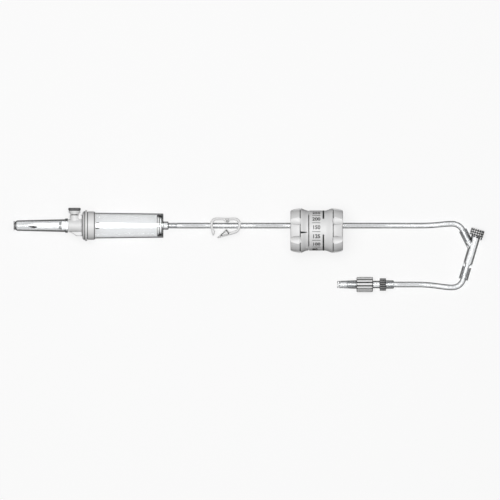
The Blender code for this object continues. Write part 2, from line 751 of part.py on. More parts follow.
def filter_pieces(carrier, black, filter_white, white):
    """The windowed cage in the chamber's foot, and the filter and support discs that it holds."""
    outer = CHAMBER_END_RADIUS - CHAMBER_WALL - 2 * SLIP
    inner = outer - CAGE_DEPTH
    last = CHAMBER_REACH - OUTLET_PLATE - SEAT_GAP
    first = last - CAGE_LENGTH
    profile = [(first, inner), (first, outer), (last, outer), (last, inner)]
    cage = turned("filter_cage", profile, MEDIUM_SIDES, carrier, black)
    bay = (CAGE_LENGTH - 3 * CAGE_RIM) / 2
    starts = [first + CAGE_RIM, first + 2 * CAGE_RIM + bay]
    for k, (start, half_angle) in enumerate(zip(starts, (FIRST_POST_HALF, SECOND_POST_HALF))):
        half = outer * math.cos(math.radians(half_angle))
        window = [(start, -half), (start + bay, -half), (start + bay, half), (start, half)]
        cut(cage, plate(f"window_{k}", window, -2 * outer, 2 * outer, carrier))
        middle = start + bay / 2
        radius = inner - SLIP
        low, high = middle - DISC_THICKNESS / 2, middle + DISC_THICKNESS / 2
        disc = [(low, 0.0), (low, radius), (high, radius), (high, 0.0)]
        name = ("filter_disc", "support_disc")[k]
        turned(name, disc, MEDIUM_SIDES, carrier, (filter_white, white)[k])


# Pinch clamp
def clamp_outline():
    """The strip from the catch leg over the top, round the hinge bend and along the lever."""
    jaw = TUBE_RADIUS + JAW_CLEARANCE
    left, right, top = CLAMP_LEFT, CLAMP_RIGHT, CLAMP_TOP
    under = top - CLAMP_STRIP
    rise = LEVER_RISE / (right - LEVER_END.x)
    lift = CLAMP_STRIP * math.hypot(1.0, rise)
    inner_right = right - CLAMP_STRIP
    inner_foot = LEVER_END.y + lift + rise * (LOWER_JAW_FOOT - LEVER_END.x)
    inner_knee = LEVER_END.y + lift + rise * (inner_right - LEVER_END.x)
    first, second, third = [(left + point.x, point.y) for point in CATCH_BARB]
    return rounded(
        [
            (left + CATCH_TIP.x, CATCH_TIP.y, SOFT_EDGE),
            (left, -2 * EDGE, 9.0 * MM),
            (left, top, 4.6 * MM),
            (0.0, top - CLAMP_SAG, 22.0 * MM),
            (right, top, 4.7 * MM),
            (right, LEVER_END.y + LEVER_RISE, 6.3 * MM),
            (LEVER_END.x, LEVER_END.y, EDGE),
            (0.0, -jaw, EDGE),
            (LOWER_JAW_FOOT, inner_foot, EDGE),
            (inner_right, inner_knee, 4.4 * MM),
            (inner_right, under, 2.8 * MM),
            (UPPER_JAW_ROOT[1], under - CLAMP_SAG / 2, EDGE),
            (UPPER_JAW_TIP[1], jaw, WIDE_EDGE),
            (UPPER_JAW_TIP[0], jaw, WIDE_EDGE),
            (UPPER_JAW_ROOT[0], under - CLAMP_SAG / 2, EDGE),
            (left + CLAMP_STRIP, under, 2.7 * MM),
            (left + CLAMP_STRIP, -4 * EDGE, 2.0 * MM),
            (*first, EDGE / 2),
            (*second, EDGE),
            (*third, 1.2 * MM),
        ]
    )


def pinch_clamp(carrier, material):
    """One moulded strip with a jaw above and below the tubing, which runs through both ends."""
    half = CLAMP_WIDTH / 2
    clamp = plate("pinch_clamp", clamp_outline(), -half, half, carrier, material)
    edge = clamp.modifiers.new("edge", "BEVEL")
    edge.width = EDGE / 2
    edge.segments = 1
    edge.limit_method = "ANGLE"
    edge.angle_limit = math.radians(60)
    reach = 2 * (CLAMP_RIGHT - CLAMP_LEFT)
    hole = TUBE_RADIUS + CLAMP_HOLE_SLIP
    cut(clamp, rod("clamp_way", (-reach, 0, 0), (reach, 0, 0), hole, carrier, SMALL_SIDES))
    for side in (-1, 1):
        name = "recess_top" if side > 0 else "recess_bottom"
        low, high = sorted((side * (half - RECESS_DEPTH), side * (half + SEAT_GAP)))
        cut(clamp, plate(name, RECESS_CORNERS, low, high, carrier))
    return clamp


# Regulator
def hump(end, ridge, fall, inside):
    """The outer profile of one half: a rounded end, a rise to the ridge and a fall to the waist."""
    way = 1 if ridge > end else -1
    rise = RIDGE_RADIUS - WAIST_RADIUS
    edge = END_ROUNDING * 0.3
    points = [(end, WAIST_RADIUS - END_ROUNDING), (end + way * edge, WAIST_RADIUS - edge)]
    for k in range(1, 5):
        share = k / 4
        x = end + way * (END_ROUNDING + (RIDGE_FROM_END - END_ROUNDING) * share)
        points.append((x, WAIST_RADIUS + rise * (0.25 + 0.75 * math.sin(math.pi / 2 * share))))
    for k in range(1, 5):
        share = k / 4
        x = ridge + way * fall * share
        points.append((x, WAIST_RADIUS + rise * (0.5 + 0.5 * math.cos(math.pi * share))))
    points.append((inside, WAIST_RADIUS))
    return points


def scallop_cutters(name, ridge, end, carrier):
    """Seven domed bars that sink the finger scallops from the end face to just past the ridge."""
    way = 1 if end > ridge else -1
    stop = ridge - way * SCALLOP_PAST_RIDGE
    profile = [(stop, 0.0)]
    for k in range(1, 5):
        angle = math.pi / 2 * k / 4
        x = stop + way * SCALLOP_DOME * (1 - math.cos(angle))
        profile.append((x, SCALLOP_RADIUS * math.sin(angle)))
    beyond = end + way * SCALLOP_RADIUS
    profile += [(beyond, SCALLOP_RADIUS), (beyond, 0.0)]
    mesh = bmesh.new()
    for k in range(SCALLOPS):
        turn = Matrix.Rotation(2 * math.pi * (k + 0.5) / SCALLOPS, 4, "X")
        matrix = turn @ Matrix.Translation((0, 0, SCALLOP_CENTRE))
        spin(mesh, profile, SCALLOP_SIDES, matrix=matrix)
    return solid(name, mesh, carrier)


def seal_places():
    """The middle of each seal groove along the core."""
    return METER_PLANE - SEAL_FROM_METER, METER_PLANE + SEAL_FROM_METER


def regulator_body(carrier, white):
    """The pointer half, one moulding with the core that the dial turns on."""
    end = -BODY_LENGTH
    ridge = end + RIDGE_FROM_END
    floor = CORE_RADIUS - SEAL_GROOVE_DEPTH
    fall = BODY_LENGTH - RIDGE_FROM_END - WAIST_LAND
    profile = [(end, 0.0), *hump(end, ridge, fall, 0.0), (0.0, CORE_RADIUS)]
    for place in seal_places():
        near, far = place - SEAL_GROOVE_WIDTH / 2, place + SEAL_GROOVE_WIDTH / 2
        profile += [(near, CORE_RADIUS), (near, floor), (far, floor), (far, CORE_RADIUS)]
    profile += [(CORE_END, CORE_RADIUS), (CORE_END, 0.0)]
    body = turned("regulator_body", profile, FINE_SIDES, carrier, white)
    cut(body, scallop_cutters("body_scallops", ridge, end, carrier))
    inlet, outlet = METER_PLANE - PORT_SPREAD, METER_PLANE + PORT_SPREAD
    y = LINE_OFFSET
    wall = CORE_RADIUS + RUNNING
    floor = end + SOCKET_DEPTH
    way = [(end - SEAT_GAP, 0.0), (end - SEAT_GAP, SOCKET_RADIUS), (floor, SOCKET_RADIUS)]
    way += [(floor, CORE_LUMEN), (inlet, CORE_LUMEN), (inlet, 0.0)]
    cut(body, lathed_tool("inlet_way", way, carrier, y))
    x = inlet - 2 * PORT_RADIUS
    cut(body, rod("inlet_port", (x, y, 0), (x, wall, 0), PORT_RADIUS, carrier))
    floor = CORE_END - (SOCKET_DEPTH - END_CAP_THICKNESS - SEAT_GAP)
    way = [(outlet, 0.0), (outlet, CORE_LUMEN), (floor, CORE_LUMEN), (floor, SOCKET_RADIUS)]
    way += [(CORE_END + SEAT_GAP, SOCKET_RADIUS), (CORE_END + SEAT_GAP, 0.0)]
    cut(body, lathed_tool("outlet_way", way, carrier, y))
    x = outlet + 2 * PORT_RADIUS
    cut(body, rod("outlet_port", (x, y, 0), (x, y, -wall), PORT_RADIUS, carrier))
    return body


def regulator_dial(carrier, white):
    """The turning half: a sleeve on the core, with a metering groove of changing depth in its bore."""
    ridge = DIAL_LENGTH - RIDGE_FROM_END
    shoulder = CORE_END
    counterbore = END_CAP_RADIUS + SLIP
    profile = [(SEAT_GAP, DIAL_BORE), *reversed(hump(DIAL_LENGTH, ridge, RIDGE_FALL, SEAT_GAP))]
    profile += [(DIAL_LENGTH, counterbore), (shoulder, counterbore), (shoulder, DIAL_BORE)]
    dial = turned("regulator_dial", profile, FINE_SIDES, carrier, white)
    cut(dial, scallop_cutters("dial_scallops", ridge, DIAL_LENGTH, carrier))
    low, high = METER_PLANE - METER_WIDTH / 2, METER_PLANE + METER_WIDTH / 2
    radius = DIAL_BORE + METER_DEPTH - METER_ECCENTRICITY
    ends = (low, 0, METER_ECCENTRICITY), (high, 0, METER_ECCENTRICITY)
    cut(dial, rod("meter_groove", *ends, radius, carrier, FINE_SIDES))
    return dial


def regulator_small_pieces(carrier, white, seal_grey):
    """The end cap that keeps the dial on the core, and the two seal rings."""
    low = CORE_END + SEAT_GAP
    profile = [(low, 0.0), (low, END_CAP_RADIUS)]
    profile += corner(DIAL_LENGTH, END_CAP_RADIUS, EDGE)
    profile.append((DIAL_LENGTH, 0.0))
    cap = turned("regulator_end_cap", profile, ROUND_SIDES, carrier, white)
    y = LINE_OFFSET
    cut(cap, rod("cap_way", (low - SEAT_GAP, y, 0), (DIAL_LENGTH + SEAT_GAP, y, 0), SOCKET_RADIUS, carrier))
    middle = (DIAL_BORE + CORE_RADIUS - SEAL_GROOVE_DEPTH) / 2
    for name, place in zip(("inlet_seal", "outlet_seal"), seal_places()):
        ring = []
        for k in range(SEAL_SIDES):
            angle = 2 * math.pi * k / SEAL_SIDES
            ring.append((place + SEAL_SECTION * math.cos(angle), middle + SEAL_SECTION * math.sin(angle)))
        turned(name, ring, MEDIUM_SIDES, carrier, seal_grey)


# Y-site
def y_connector(carrier, clear):
    """The moulded Y: a straight body and a slanting arm, each with a socket for tubing."""
    throat = SOCKET_DEPTH + Y_THROAT_LENGTH
    bead = Y_BODY_LENGTH - Y_BEAD_WIDTH
    profile = [(0.0, 0.0), *corner(0.0, Y_BODY_RADIUS, EDGE, -1)]
    profile += [(bead - SEAT_GAP, Y_BODY_RADIUS), (bead, Y_BEAD_RADIUS)]
    profile += [*corner(Y_BODY_LENGTH, Y_BEAD_RADIUS, EDGE), (Y_BODY_LENGTH, 0.0)]
    body = turned("y_connector", profile, SMALL_SIDES, carrier, clear)
    arm_frame = frame("y_arm", (ARM_JUNCTION, 0.0, 0.0), carrier, ARM_ANGLE)
    outer = [(0.0, 0.0), (0.0, ARM_RADIUS), *corner(ARM_LENGTH, ARM_RADIUS, EDGE), (ARM_LENGTH, 0.0)]
    join(body, turned("arm_outside", outer, SMALL_SIDES, arm_frame))
    floor = ARM_LENGTH - SOCKET_DEPTH
    way = [(0.0, 0.0), (0.0, ARM_LUMEN), (floor - ARM_FUNNEL, ARM_LUMEN), (floor, Y_LUMEN)]
    way += [(floor, SOCKET_RADIUS), (ARM_LENGTH + SEAT_GAP, SOCKET_RADIUS), (ARM_LENGTH + SEAT_GAP, 0.0)]
    cut(body, lathed_tool("arm_way", way, arm_frame))
    way = [(-SEAT_GAP, 0.0), (-SEAT_GAP, SOCKET_RADIUS), (SOCKET_DEPTH, SOCKET_RADIUS)]
    way += [(SOCKET_DEPTH, Y_THROAT), (throat, Y_THROAT), (throat + Y_FLARE, Y_LUMEN)]
    way.append((Y_BODY_LENGTH + SEAT_GAP, Y_LUMEN))
    way.append((Y_BODY_LENGTH + SEAT_GAP, 0.0))
    cut(body, lathed_tool("main_way", way, carrier, sides=SMALL_SIDES))
    return body


def injection_bung(carrier, rubber):
    """The rubber bung over the bead of the Y-site, with a plug in the lumen and a pull tab."""
    bead = Y_BODY_LENGTH - Y_BEAD_WIDTH
    floor = Y_BODY_LENGTH + SEAT_GAP
    skirt = floor - BUNG_SKIRT
    top = floor + BUNG_TOP
    undercut = bead - 2 * SEAT_GAP
    over_bead = Y_BEAD_RADIUS + SLIP
    over_body = Y_BODY_RADIUS + SLIP
    profile = [(floor - BUNG_PLUG, 0.0), (floor - BUNG_PLUG, Y_LUMEN - 2 * SLIP), (floor, Y_LUMEN - SLIP)]
    profile += [(floor, over_bead), (undercut, over_bead), (undercut, over_body), (skirt, over_body)]
    profile += corner(skirt, BUNG_RADIUS, EDGE, -1)
    profile += corner(top, BUNG_RADIUS, SOFT_EDGE)
    profile.append((top, 0.0))
    bung = turned("injection_bung", profile, MEDIUM_SIDES, carrier, rubber)
    outside = -BUNG_RADIUS + SLIP
    inside = outside + TAB_THICKNESS - SLIP
    tab = [(skirt - TAB_LENGTH, outside), (skirt + TAB_ROOT, outside)]
    tab += [(skirt + TAB_ROOT, inside), (skirt - TAB_LENGTH, inside)]
    join(bung, plate("bung_tab", tab, -TAB_WIDTH / 2, TAB_WIDTH / 2, carrier))
    return bung


# Luer lock
def luer_body(carrier, clear):
    """The male cone, the collar inside the nut, the neck and the bush for the tubing."""
    collar_end = NUT_LENGTH - NUT_END_WALL - SEAT_GAP
    collar = collar_end - COLLAR_WIDTH
    tip = -CONE_REACH
    root_radius = CONE_TIP_RADIUS + CONE_TAPER * (collar - tip)
    profile = [(tip, LUER_LUMEN), *corner(tip, CONE_TIP_RADIUS, EDGE, -1), (collar, root_radius)]
    profile += [(collar, COLLAR_RADIUS), (collar_end, COLLAR_RADIUS), (collar_end, NECK_RADIUS)]
    profile += [(BUSH_X, NECK_RADIUS), (BUSH_X, BUSH_RADIUS), (BUSH_END - SOFT_EDGE, BUSH_RADIUS)]
    profile += [(BUSH_END, BUSH_RADIUS - SOFT_EDGE), (BUSH_END, SOCKET_RADIUS)]
    profile += [(BUSH_END - SOCKET_DEPTH, SOCKET_RADIUS), (BUSH_END - SOCKET_DEPTH, LUER_LUMEN)]
    return turned("luer_body", profile, SMALL_SIDES, carrier, clear)


def luer_nut(carrier, clear):
    """The ribbed lock nut, free to spin on the neck."""
    bore_end = NUT_LENGTH - NUT_END_WALL
    profile = [(0.0, NUT_BORE), *corner(0.0, NUT_RADIUS, WIDE_EDGE, -1)]
    profile += corner(NUT_LENGTH, NUT_RADIUS, WIDE_EDGE)
    profile += [(NUT_LENGTH, NECK_RADIUS + SLIP), (bore_end, NECK_RADIUS + SLIP), (bore_end, NUT_BORE)]
    ripple = ribs(NUT_RIBS, NUT_RIB_HEIGHT, NUT_BORE + SLIP, NUT_RADIUS)
    return turned("luer_nut", profile, NUT_RIBS * 4, carrier, clear, ripple)


def grip_ring(carrier, clear):
    """The fine-ribbed ring glued over the bush."""
    start = BUSH_X + SLIP
    end = BUSH_X + GRIP_WIDTH
    bore = BUSH_RADIUS + SLIP
    profile = [(start, bore), (start, GRIP_RADIUS - EDGE), (start + EDGE, GRIP_RADIUS)]
    profile += [(end - EDGE, GRIP_RADIUS), (end, GRIP_RADIUS - EDGE), (end, bore)]
    ripple = ribs(GRIP_RIBS, GRIP_RIB_HEIGHT, bore + SLIP, GRIP_RADIUS)
    return turned("grip_ring", profile, GRIP_RIBS * 3, carrier, clear, ripple)


def luer_cap(carrier, clear):
    """The fluted protective cap over the cone, its spigot inside the nut."""
    face = -SEAT_GAP
    end = face - CAP_LENGTH
    bore_root = CONE_TIP_RADIUS + CONE_TAPER * (CAP_IN_NUT + CONE_REACH) + SLIP
    bore_tip = CONE_TIP_RADIUS + SLIP
    profile = [(end, 0.0), *corner(end, CAP_TIP_RADIUS, WIDE_EDGE, -1)]
    for k in range(1, 3):
        share = k / 3
        radius = CAP_TIP_RADIUS + (CAP_ROOT_RADIUS - CAP_TIP_RADIUS) * share
        profile.append((end + CAP_LENGTH * share, radius))
    profile += [(face, CAP_ROOT_RADIUS), (face, CAP_SPIGOT_RADIUS), (CAP_IN_NUT, CAP_SPIGOT_RADIUS - SLIP)]
    profile += [(CAP_IN_NUT, bore_root), (-CONE_REACH, bore_tip), (end + CAP_END_WALL, bore_tip - SLIP)]
    profile.append((end + CAP_END_WALL, 0.0))

    def flutes(x, radius, angle):
        if radius <= CAP_TIP_RADIUS - SLIP or x > face - SLIP or x < end + SLIP:
            return radius
        depth = CAP_FLUTE_DEPTH * min(1.0, (face - x) / (CAP_LENGTH * CAP_FLUTE_RUN))
        return radius - depth * (0.5 - 0.5 * math.cos(CAP_FLUTES * angle)) ** 2

    return turned("luer_cap", profile, CAP_FLUTES * 4, carrier, clear, flutes)


def build():
    """The whole set, one assembly after the other."""
    clear_scene()
    white = finish("white_abs", (0.86, 0.87, 0.86), 0.35)
    clear = finish("clear_pvc", (0.88, 0.92, 0.93), 0.12, 0.45)
    cover = finish("translucent_pe", (0.9, 0.92, 0.92), 0.3, 0.6)
    black = finish("black_cage", (0.02, 0.02, 0.02), 0.45)
    filter_white = finish("filter_white", (0.9, 0.9, 0.88), 0.8)
    rubber = finish("bung_rubber", (0.13, 0.13, 0.13), 0.6)
    grip_grey = finish("grip_grey", (0.22, 0.22, 0.22), 0.5)
    seal_grey = finish("seal_silicone", (0.6, 0.6, 0.6), 0.5)
    tube = finish("tubing_pvc", (0.9, 0.93, 0.94), 0.15, 0.5)

    whole = frame("infusion_set", (0.0, 0.0, 0.0))
    spike_end = frame("spike_end", (SKIRT_X, LINE_Y, CHAMBER_AXIS_Z), whole)
    spike_hub(spike_end, white)
    vent_pieces(spike_end, white, filter_white)
    spike_cover(spike_end, cover)
    drip_chamber(spike_end, clear)
    chamber_outlet(spike_end, clear)
    filter_pieces(spike_end, black, filter_white, white)

    pinch_clamp(frame("clamp_place", (CLAMP_X, LINE_Y, CLAMP_AXIS_Z), whole), white)

    regulator = frame("regulator", (REGULATOR_X, REGULATOR_Y, REGULATOR_Z), whole)
    regulator_body(regulator, white)
    regulator_dial(regulator, white)
    regulator_small_pieces(regulator, white, seal_grey)

    place = Y_SITE_PLACE + Vector((0.0, 0.0, Y_SITE_Z))
    y_site = frame("y_site", place, whole, math.pi / 2 - Y_SITE_LEAN)
    y_connector(y_site, clear)
    injection_bung(y_site, rubber)

    luer_end = frame("luer_end", (LUER_X, LUER_Y, LUER_Z), whole)
    luer_body(luer_end, clear)
    luer_nut(luer_end, white)
    grip_ring(luer_end, grip_grey)
    luer_cap(luer_end, cover)

    tubing("tubing_upper", upper_route(), whole, tube)
    tubing("tubing_middle", middle_route(), whole, tube)
    tubing("tubing_lower", lower_route(), whole, tube)


build()
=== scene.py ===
"""Looks of the IV infusion set: its mouldings, clear plastics, rubber, print and tubing.

Sizes are in millimetres and angles in degrees unless a docstring says otherwise. Every turned piece
is an outline of (x, radius, fillet) corners, spun about the X axis of its assembly.
"""

import logging
import math
from collections.abc import Callable, Sequence
from dataclasses import dataclass, field
from enum import Enum

import bmesh
import bpy
from mathutils import Matrix, Vector


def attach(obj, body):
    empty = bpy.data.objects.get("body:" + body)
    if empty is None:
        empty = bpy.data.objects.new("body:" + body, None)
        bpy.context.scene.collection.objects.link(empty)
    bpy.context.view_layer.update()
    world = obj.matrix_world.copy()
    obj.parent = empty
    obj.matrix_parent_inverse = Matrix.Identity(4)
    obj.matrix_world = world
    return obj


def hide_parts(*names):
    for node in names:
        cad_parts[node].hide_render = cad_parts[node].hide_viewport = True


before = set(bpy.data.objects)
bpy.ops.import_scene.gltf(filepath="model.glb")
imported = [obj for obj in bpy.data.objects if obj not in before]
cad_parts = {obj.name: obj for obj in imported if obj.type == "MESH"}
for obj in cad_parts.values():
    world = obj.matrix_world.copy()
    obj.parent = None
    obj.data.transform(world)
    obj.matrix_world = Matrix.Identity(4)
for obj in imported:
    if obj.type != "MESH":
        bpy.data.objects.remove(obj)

MM = 0.001
Pair = tuple[float, float]
Place = tuple[float, float, float]
Corner = tuple[float, float, float]
Colour = tuple[float, float, float, float]
Outline = Sequence[Sequence[float]]
Ripple = Callable[[float, float, float], float]
Mesh = bmesh.types.BMesh
Socket = bpy.types.NodeSocket
Material = bpy.types.Material
PASSED = (0.84, 0.85, 0.85, 1.0)
log = logging.getLogger("infusion_set")


class Operation(Enum):
    """What a tool does to the piece that it meets."""

    JOIN = "UNION"
    CUT = "DIFFERENCE"


class Body(Enum):
    """The moving bodies of the set."""

    LINE = "line"
    COVER = "cover"
    VENT_PLUG = "vent_plug"
    CLAMP = "clamp"
    DIAL = "dial"
    LOCK_NUT = "lock_nut"
    TIP_CAP = "tip_cap"


class Slot(Enum):
    """The material slots of the record."""

    WHITE = "white_abs"
    CLEAR = "clear_pvc"
    MILKY = "translucent_pe"
    BLACK = "black_cage"
    FILTER = "filter_white"
    RUBBER = "bung_rubber"
    GRIP = "grip_grey"
    SEAL = "seal_silicone"
    TUBE = "tubing_pvc"


# Shader expressions


def operator(operation: str, reflected: bool = False) -> Callable:
    """An operator of the Signal class.

    Args:
        operation: The operation of the Math node that it adds.
        reflected: Whether the signal is its second value.

    Returns:
        The method.
    """

    def method(signal: "Signal", other: "Signal | float") -> "Signal":
        """The Math node's result."""
        values = (other, signal) if reflected else (signal, other)
        return signal.math(operation, *values)

    return method


class Signal:
    """A value in a shader that takes part in arithmetic by adding Math nodes."""

    def __init__(self, shader: "Shader", socket: Socket) -> None:
        """Wraps an output that carries a number."""
        self.shader = shader
        self.socket = socket

    def math(self, operation: str, *values: "Signal | float") -> "Signal":
        """The result of a Math node on these values, in their order."""
        node = self.shader.node("ShaderNodeMath", {"operation": operation}, dict(enumerate(values)))
        return Signal(self.shader, node.outputs[0])

    __add__, __radd__ = operator("ADD"), operator("ADD", True)
    __sub__, __rsub__ = operator("SUBTRACT"), operator("SUBTRACT", True)
    __mul__, __rmul__ = operator("MULTIPLY"), operator("MULTIPLY", True)

    def __abs__(self) -> "Signal":
        """The value without its sign."""
        return self.math("ABSOLUTE", self)

    def sine(self) -> "Signal":
        """The sine of the value, in radians."""
        return self.math("SINE", self)

    def root(self) -> "Signal":
        """The square root."""
        return self.math("SQRT", self)

    def heading(self, other: "Signal") -> "Signal":
        """The angle of the point (other, self), in radians."""
        return self.math("ARCTAN2", self, other)

    def at_most(self, other: "Signal | float") -> "Signal":
        """The lesser of two values."""
        return self.math("MINIMUM", self, other)

    def between(self, low: float, high: float) -> "Signal":
        """0 below low, 1 above high, and eased in between."""
        values = {"Value": self, "From Min": low, "From Max": high}
        node = self.shader.node("ShaderNodeMapRange", {"interpolation_type": "SMOOTHSTEP"}, values)
        return Signal(self.shader, node.outputs["Result"])


class Shader:
    """A material's node tree, with its Principled shader."""

    def __init__(self, name: str) -> None:
        """Starts a material.

        Args:
            name: The material's name.
        """
        self.material = bpy.data.materials.new(name)
        self.material.use_nodes = True
        self.tree = self.material.node_tree
        self.principled = self.tree.nodes["Principled BSDF"]
        self.output = self.tree.nodes["Material Output"]

    def node(self, kind: str, settings: dict[str, object], inputs: dict) -> bpy.types.Node:
        """Adds a node.

        Args:
            kind: The node's type.
            settings: Its own settings, made before its sockets are.
            inputs: A value, socket or Signal for each named or numbered input.

        Returns:
            The node.
        """
        node = self.tree.nodes.new(kind)
        for name, value in settings.items():
            setattr(node, name, value)
        for key, value in inputs.items():
            self.feed(node.inputs[key], value)
        return node

    def feed(self, target: Socket, value: object) -> None:
        """Links or sets one socket.

        Args:
            target: The socket that takes the value.
            value: A Signal, an output socket, a number or a tuple.
        """
        if isinstance(value, Signal):
            value = value.socket
        if isinstance(value, Socket):
            self.tree.links.new(value, target)
        else:
            target.default_value = value

    def place(self) -> Socket:
        """The place on the piece, in metres, in the piece's own frame."""
        return self.node("ShaderNodeTexCoord", {}, {}).outputs["Object"]

    def axes(self) -> tuple[Signal, Signal, Signal]:
        """The three numbers of the place."""
        parts = self.node("ShaderNodeSeparateXYZ", {}, {0: self.place()})
        x, y, z = (Signal(self, socket) for socket in parts.outputs)
        return x, y, z

    def noise(self, scale: float, detail: float = 2.0, stretch: Place = (1, 1, 1)) -> Signal:
        """Soft noise from 0 to 1.

        Args:
            scale: How many features there are to a metre.
            detail: How many finer layers it has.
            stretch: The scale of each axis.

        Returns:
            The noise.
        """
        settings = {"operation": "MULTIPLY"}
        scaled = self.node("ShaderNodeVectorMath", settings, {0: self.place(), 1: stretch})
        inputs = {"Vector": scaled.outputs[0], "Scale": scale, "Detail": detail}
        return Signal(self, self.node("ShaderNodeTexNoise", {}, inputs).outputs[0])

    def mix(self, share: Signal, first: object, second: object) -> Socket:
        """A colour between two, by the share of the second."""
        node = self.node("ShaderNodeMix", {"data_type": "RGBA"}, {0: share, 6: first, 7: second})
        return node.outputs[2]

    def bump(self, height: Signal, depth: float) -> Socket:
        """A normal from a height, of which 1 stands this far, in millimetres."""
        inputs = {"Height": height, "Distance": depth * MM, "Strength": 1.0}
        return self.node("ShaderNodeBump", {}, inputs).outputs["Normal"]

    def dress(self, **inputs: object) -> None:
        """Feeds the Principled shader's sockets, with _ for each space in a name."""
        for name, value in inputs.items():
            self.feed(self.principled.inputs[name.replace("_", " ")], value)

    def surface(self, share: object, shader: bpy.types.Node) -> None:
        """Mixes another shader into the surface.

        Args:
            share: The share of the other shader.
            shader: Its node.
        """
        inputs = {0: share, 1: self.principled.outputs[0], 2: shader.outputs[0]}
        mixed = self.node("ShaderNodeMixShader", {}, inputs)
        self.feed(self.output.inputs["Surface"], mixed.outputs[0])

    def let_lamps_through(self) -> None:
        """Lets most of the lamps' light pass, as a thin clear wall does."""
        ray = self.node("ShaderNodeLightPath", {}, {}).outputs["Is Shadow Ray"]
        self.surface(ray, self.node("ShaderNodeBsdfTransparent", {}, {"Color": PASSED}))


class SkyShader(Shader):
    """The world's node tree."""

    def __init__(self, world: bpy.types.World) -> None:
        """Takes up a world.

        Args:
            world: The world to shade.
        """
        world.use_nodes = True
        self.tree = world.node_tree
        self.background = self.tree.nodes["Background"]


def seen_straight(shader: Shader) -> Signal:
    """1 for what is seen directly or through clear plastic, and 0 for what a surface mirrors.

    Args:
        shader: The shader of the floor or the sky.

    Returns:
        The share of white that shows.
    """
    rays = shader.node("ShaderNodeLightPath", {}, {})
    mirrored = Signal(shader, rays.outputs["Glossy Depth"]).at_most(1.0)
    through = Signal(shader, rays.outputs["Is Transmission Ray"]) * (1.0 - mirrored)
    return Signal(shader, rays.outputs["Is Camera Ray"]) + through


def shade(level: float, warmth: float = 0.0) -> Colour:
    """A grey of this level, a little warm or, below zero, cool."""
    return (level + warmth, level, level - warmth, 1.0)


# Finishes


@dataclass(frozen=True)
class MouldedPlastic:
    """Opaque moulded plastic with a satin skin and faint flow marks."""

    name: str
    level: float
    roughness: float = 0.45
    grain: float = 0.012

    def material(self) -> Material:
        """Makes the material."""
        shader = Shader(self.name)
        flow = shader.noise(60.0, 3.0)
        spread = 0.03 * self.level
        handled = shader.noise(260.0, 4.0)
        fine = shader.noise(5200.0, 1.0)
        shader.dress(
            Base_Color=shader.mix(flow, shade(self.level - spread), shade(self.level + spread)),
            Roughness=self.roughness - 0.06 + handled * 0.12,
            Normal=shader.bump(fine, self.grain),
        )
        return shader.material


@dataclass(frozen=True)
class ClearPlastic:
    """Clear plastic, see-through from glassy to milky."""

    name: str
    level: float = 0.97
    roughness: float = 0.03
    wave: float = 0.004
    stretch: Place = (1.0, 1.0, 1.0)

    def material(self) -> Material:
        """Makes the material."""
        shader = Shader(self.name)
        haze = shader.noise(180.0, 3.0)
        wave = shader.noise(240.0, 2.0, self.stretch)
        tint = shader.noise(45.0, 1.0)
        low, high = (shade(level, -0.006) for level in (self.level - 0.02, self.level))
        shader.dress(
            Base_Color=shader.mix(tint, low, high),
            Roughness=self.roughness * 0.6 + haze * (self.roughness * 0.8),
            Normal=shader.bump(wave, self.wave),
            Transmission_Weight=1.0,
            IOR=1.5,
        )
        shader.let_lamps_through()
        return shader.material


@dataclass(frozen=True)
class CheckeredRubber:
    """Dark rubber, moulded with a checkered texture whose raised spots are pale."""

    name: str
    dark: float = 0.015
    pale: float = 0.85
    pitch: float = 1.7
    around: int = 18
    inside: Pair = (3.3, 3.6)

    def material(self) -> Material:
        """Makes the material."""
        shader = Shader(self.name)
        x, y, z = shader.axes()
        radius = (y * y + z * z).root()
        along = ((x + radius) * (2 * math.pi / (self.pitch * MM))).sine()
        turning = (y.heading(z) * self.around).sine()
        grain = shader.noise(3000.0, 3.0)
        outside = radius.between(self.inside[0] * MM, self.inside[1] * MM)
        spots = (along + turning + grain * 0.6).between(0.25, 0.75) * outside
        shader.dress(
            Base_Color=shader.mix(spots, shade(self.dark), shade(self.pale)),
            Roughness=0.55 + grain * 0.3,
            Normal=shader.bump(spots * 0.8 + grain * 0.2, 0.12),
        )
        return shader.material


@dataclass(frozen=True)
class RibbedPlastic:
    """Ribbed plastic, dark between its ribs as painted shade and pale on their tops as a painted
    highlight.
    """

    name: str
    low: float
    high: float
    start: float
    end: float
    dark: float = 0.07
    pale: float = 0.5
    ends: float = 0.0
    fade: float = 0.25

    def material(self) -> Material:
        """Makes the material."""
        shader = Shader(self.name)
        x, y, z = shader.axes()
        radius = (y * y + z * z).root()
        middle, half = (self.start + self.end) / 2 * MM, (self.end - self.start) / 2
        beyond = abs(x - middle).between((half - self.fade) * MM, half * MM)
        top = (radius.between(self.low * MM, self.high * MM) + beyond * self.ends).at_most(1.0)
        # Share of the pale tone: a painted highlight on the rib tops, against painted shade between
        # the ribs.
        painted_lit_share = (top * (0.8 + shader.noise(700.0, 2.0) * 0.4)).at_most(1.0)
        grain = shader.noise(4200.0, 2.0)
        shader.dress(
            Base_Color=shader.mix(painted_lit_share, shade(self.dark), shade(self.pale)),
            Roughness=0.6 - top * 0.2 + grain * 0.1,
            Normal=shader.bump(grain, 0.03),
        )
        return shader.material


@dataclass(frozen=True)
class FilterWeb:
    """Felted or woven filter web."""

    name: str
    level: float = 0.88
    threads: float = 2200.0

    def material(self) -> Material:
        """Makes the material."""
        shader = Shader(self.name)
        _, y, z = shader.axes()
        weave = abs((y * self.threads * math.pi).sine() * (z * self.threads * math.pi).sine())
        fibres = shader.noise(2600.0, 4.0)
        height = weave * 0.6 + fibres * 0.4
        shader.dress(
            Base_Color=shader.mix(height, shade(self.level - 0.14, 0.01), shade(self.level, 0.006)),
            Roughness=0.8 + fibres * 0.15,
            Normal=shader.bump(height, 0.1),
        )
        return shader.material


